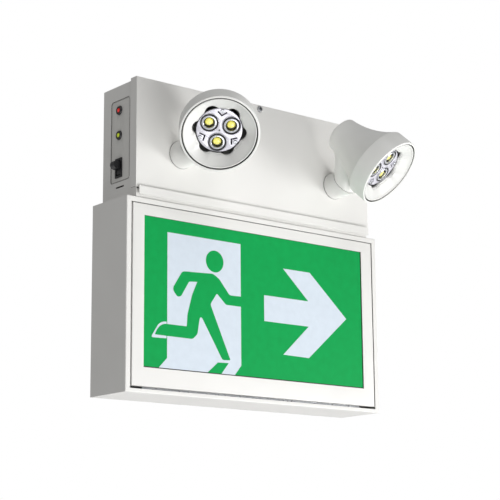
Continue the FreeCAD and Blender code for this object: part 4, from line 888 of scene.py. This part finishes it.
makeLegend()
makeFacePlate()
makeTestPanel()
makeCoverScrew()
print("legend, face plate, test panel and cover screw")
for side in ("left", "right"):
    place, lensTurn = headPlace(side)
    lensTurn += math.radians(lampHead["moduleRoll"][side])
    makeHousing(side, place)
    makeBezel(side, place @ Matrix.Rotation(lensTurn + math.radians(30), 4, "Z"))
    modulePlace = place @ Matrix.Rotation(lensTurn, 4, "Z")
    makeModulePlate(side, modulePlace)
    makeOptics(side, modulePlace)
    makeModuleScrews(side, modulePlace)
    makeTurret(side)
print("lamp heads")


stageLook = {"floorZ": -1.6, "floorSize": 14.0, "floor": "#F4F4F3", "worldLight": 0.34}


def mixByRay(tree, rays, lit, seen):
    # the named rays meet the second shader, all others the first
    path = addNode(tree, "ShaderNodeLightPath")
    either = addNode(tree, "ShaderNodeMath", {"operation": "MAXIMUM"})
    for ray, socket in zip(rays, either.inputs):
        tree.links.new(path.outputs[ray], socket)
    mixed = addNode(tree, "ShaderNodeMixShader", None, Fac=either.outputs[0])
    tree.links.new(lit.outputs[0], mixed.inputs[1])
    tree.links.new(seen.outputs[0], mixed.inputs[2])
    return mixed.outputs[0]


def makeStage():
    # a plain pale floor far below the light, which the camera sees as white
    floorMesh = bpy.data.meshes.new("studioFloor")
    half = stageLook["floorSize"] / 2
    corners = framePoints(-half, half, -half, half)
    floorMesh.from_pydata([(x, y, stageLook["floorZ"]) for x, y in corners], [], [(0, 1, 2, 3)])
    floor = bpy.data.objects.new("studioFloor", floorMesh)
    bpy.context.scene.collection.objects.link(floor)
    material = bpy.data.materials.new("paleStudioFloor")
    material.use_nodes = True
    tree = material.node_tree
    tree.nodes.clear()
    paint = addNode(tree, "ShaderNodeBsdfDiffuse", None, Color=linear(stageLook["floor"]))
    plainWhite = addNode(tree, "ShaderNodeEmission", None, Color=(1, 1, 1, 1), Strength=1.0)
    surface = mixByRay(tree, ("Is Camera Ray", "Is Glossy Ray"), paint, plainWhite)
    addNode(tree, "ShaderNodeOutputMaterial", None, Surface=surface)
    floorMesh.materials.append(material)


def makeWorld():
    # even white light all round, and a white backdrop
    world = bpy.data.worlds.new("softStudio")
    bpy.context.scene.world = world
    world.use_nodes = True
    tree = world.node_tree
    tree.nodes.clear()
    strength = stageLook["worldLight"]
    ambient = addNode(tree, "ShaderNodeBackground", None, Color=(1, 1, 1, 1), Strength=strength)
    backdrop = addNode(tree, "ShaderNodeBackground", None, Color=(1, 1, 1, 1), Strength=1.0)
    surface = mixByRay(tree, ("Is Camera Ray", "Is Transmission Ray"), ambient, backdrop)
    addNode(tree, "ShaderNodeOutputWorld", None, Surface=surface)


def makeLamp(name, place, target, sizeM, watts):
    light = bpy.data.lights.new(name, "AREA")
    light.shape = "DISK"
    light.size = sizeM
    light.energy = watts
    lamp = bpy.data.objects.new(name, light)
    lamp.location = place
    lamp.rotation_euler = (Vector(target) - Vector(place)).to_track_quat("-Z", "Y").to_euler()
    bpy.context.scene.collection.objects.link(lamp)


cameraLook = {
    "focalMm": 110.64, "sensorMm": 36, "eye": (-1.041389, -1.33306, -0.290885), "pan": -0.681, "tilt": 0.214,
    "roll": 0.008,
}


def makeCamera():
    # a long lens from the left, a little below the sign
    camera = bpy.data.cameras.new("camera")
    camera.lens = cameraLook["focalMm"]
    camera.sensor_width = cameraLook["sensorMm"]
    camera.clip_end = 60
    aim = Matrix.Rotation(cameraLook["pan"], 3, "Z") @ Matrix.Rotation(cameraLook["tilt"], 3, "X")
    aim = aim @ Matrix.Rotation(cameraLook["roll"], 3, "Y") @ Matrix.Rotation(math.radians(90), 3, "X")
    eye = bpy.data.objects.new("camera", camera)
    eye.matrix_world = Matrix.Translation(cameraLook["eye"]) @ aim.to_4x4()
    bpy.context.scene.collection.objects.link(eye)
    bpy.context.scene.camera = eye


# round soft lamps: metres and watts
studioLamps = {
    "keyLamp": {"stand": (2.3, -1.92, -1.0), "target": (0.0, 0.0, 0.08), "wide": 1.3, "watts": 58},
    "fillLamp": {"stand": (-0.2, -1.4, -1.2), "target": (0.0, 0.0, 0.05), "wide": 1.2, "watts": 15},
    "topLamp": {"stand": (-0.3, -1.6, 2.0), "target": (0.0, 0.0, 0.08), "wide": 1.4, "watts": 11},
}
makeStage()
makeWorld()
for lampName, lamp in studioLamps.items():
    makeLamp(lampName, lamp["stand"], lamp["target"], lamp["wide"], lamp["watts"])
makeCamera()
bpy.context.scene.view_settings.view_transform = "Standard"
print("stage, lamps and camera")
